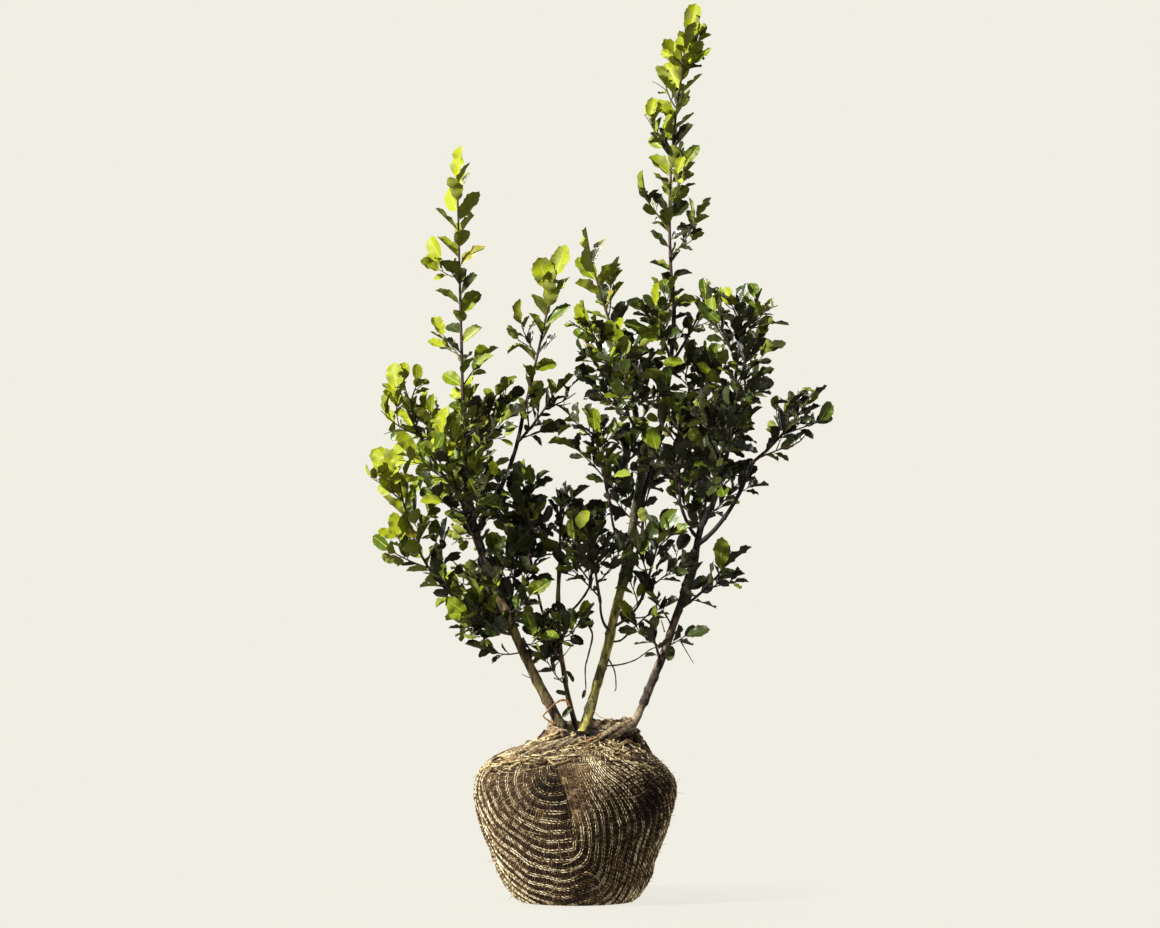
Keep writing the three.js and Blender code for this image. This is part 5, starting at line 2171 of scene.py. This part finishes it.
@dataclass(frozen=True)
class PaperFinish:
    """The pale floor, which fades out round the part so that only its soft shadow shows."""

    name: str = "pale paper floor"
    colour: str = "f1eee3"
    glow: float = 0.9

    def make(self) -> bpy.types.Material:
        """Builds the material.

        Returns:
            The material.
        """
        shader = Shader(self.name)
        place = shader.node("ShaderNodeTexCoord", {}, {}).outputs["Object"]
        spread = shader.value("ShaderNodeVectorMath", {"operation": "LENGTH"}, {0: place}, "Value")
        shader.material.blend_method = "HASHED"
        return shader.finish(
            {
                "Base Color": linear("3f3e3b"),
                "Roughness": 0.9,
                "Specular IOR Level": 0.0,
                "Alpha": 1 - spread.between(0.14, 0.5),
                "Emission Color": linear(self.colour),
                "Emission Strength": self.glow,
            }
        )


@dataclass(frozen=True)
class GlowFinish:
    """The even backdrop all round."""

    name: str = "pale backdrop"
    colour: str = "f1eee3"

    def make(self) -> bpy.types.Material:
        """Builds the material.

        Returns:
            The material.
        """
        shader = Shader(self.name)
        inputs = {
            "Base Color": (0.0, 0.0, 0.0, 1.0),
            "Specular IOR Level": 0.0,
            "Emission Color": linear(self.colour),
            "Emission Strength": 1.0,
        }
        return shader.finish(inputs)


@dataclass(frozen=True)
class Lamp:
    """A square soft light: where it hangs and how high it aims in metres, its sides and its watts."""

    name: str
    place: Triple
    aim: float
    size: float
    power: float

    def hang(self) -> None:
        """Hangs it and turns it to the part."""
        lamp = bpy.data.lights.new(self.name, "AREA")
        lamp.size = self.size
        lamp.energy = self.power
        hung = bpy.data.objects.new(self.name, lamp)
        hung.location = self.place
        way = Vector((0.0, 0.0, self.aim)) - Vector(self.place)
        hung.rotation_euler = way.to_track_quat("-Z", "Y").to_euler()
        bpy.context.scene.collection.objects.link(hung)


@dataclass
class Studio:
    """The camera, the lights, the floor and the backdrop, with sizes in metres."""

    distance: float = 6.8
    height: float = 0.612
    aside: float = 0.0056
    view_width: float = 1.624
    daylight: float = 0.19
    lamps: tuple[Lamp, ...] = (
        Lamp("key", (-5.0, -3.4, 4.4), 0.62, 0.8, 1160),
        Lamp("fill", (2.6, -2.6, 1.4), 0.5, 2.4, 8),
        Lamp("rim", (-1.9, 2.2, 2.2), 0.7, 1.0, 70),
        Lamp("side", (3.4, 1.5, 2.4), 0.6, 2.0, 60),
    )

    def make(self) -> None:
        """Sets the studio up."""
        scene = bpy.context.scene
        scene.view_settings.view_transform = "Standard"
        self._camera()
        for lamp in self.lamps:
            lamp.hang()
        world = bpy.data.worlds.new("studio air")
        world.use_nodes = True
        sky = world.node_tree.nodes["Background"]
        sky.inputs["Color"].default_value = (1.0, 0.98, 0.93, 1.0)
        sky.inputs["Strength"].default_value = self.daylight
        scene.world = world
        self._floor()
        self._backdrop()

    def _camera(self) -> None:
        """Sets up the camera, level and square to the part."""
        camera = bpy.data.cameras.new("camera")
        camera.sensor_width = 36
        camera.lens = 36 * self.distance / self.view_width
        camera.clip_end = 100
        stand = bpy.data.objects.new("camera", camera)
        stand.location = (self.aside, -self.distance, self.height)
        stand.rotation_euler = (math.pi / 2, 0, 0)
        bpy.context.scene.collection.objects.link(stand)
        bpy.context.scene.camera = stand

    def _stage(
        self, name: str, points: Array, faces: list[Array], material: bpy.types.Material
    ) -> bpy.types.Object:
        """Makes a mesh that isn't part of the object.

        Args:
            name: its name.
            points: its points in metres, one a row.
            faces: its faces as corner numbers, in an array for each number of corners.
            material: its finish.

        Returns:
            The mesh object.
        """
        mesh = bpy.data.meshes.new(name)
        mesh.from_pydata(points.tolist(), [], [corners for part in faces for corners in part.tolist()])
        mesh.materials.append(material)
        made = bpy.data.objects.new(name, mesh)
        bpy.context.scene.collection.objects.link(made)
        made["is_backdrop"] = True
        return made

    def _floor(self) -> None:
        """Lays the floor."""
        points = np.array([[-1.0, -1, 0], [1, -1, 0], [1, 1, 0], [-1, 1, 0]]) - UP * 0.0004
        self._stage("floor", points, [np.array([[0, 1, 2, 3]])], PaperFinish().make())

    def _backdrop(self) -> None:
        """Puts a wide, evenly lit backdrop all round, which only the camera sees."""
        tilt = np.linspace(-math.pi / 2, math.pi / 2, 25)
        radius = 24
        path = np.stack([0 * tilt, 0 * tilt, radius * np.sin(tilt)], axis=1)
        points, faces = tube(path, np.maximum(radius * np.cos(tilt), 0.01), 48)
        made = self._stage("backdrop", points, faces, GlowFinish().make())
        made.visible_diffuse = False
        made.visible_glossy = False
        made.visible_shadow = False
        made.visible_transmission = False


def main() -> None:
    """Builds the classes in order."""
    logging.basicConfig(level=logging.INFO, format="%(message)s")
    limbs = Limbs()
    limbs.make()
    crown = Crown(limbs)
    crown.grow()
    crown.make()
    shape = BallShape()
    netting = Netting(shape)
    netting.make()
    RootBall(shape, netting).make()
    DryBits().make()
    Studio().make()
    boxes = {"cad": CAD_BOX, "visual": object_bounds()}
    boxes = {name: [list(corner) for corner in boxes[name]] for name in boxes}
    LOG.info("boxes: %s", boxes)


if __name__ == "__main__":
    main()
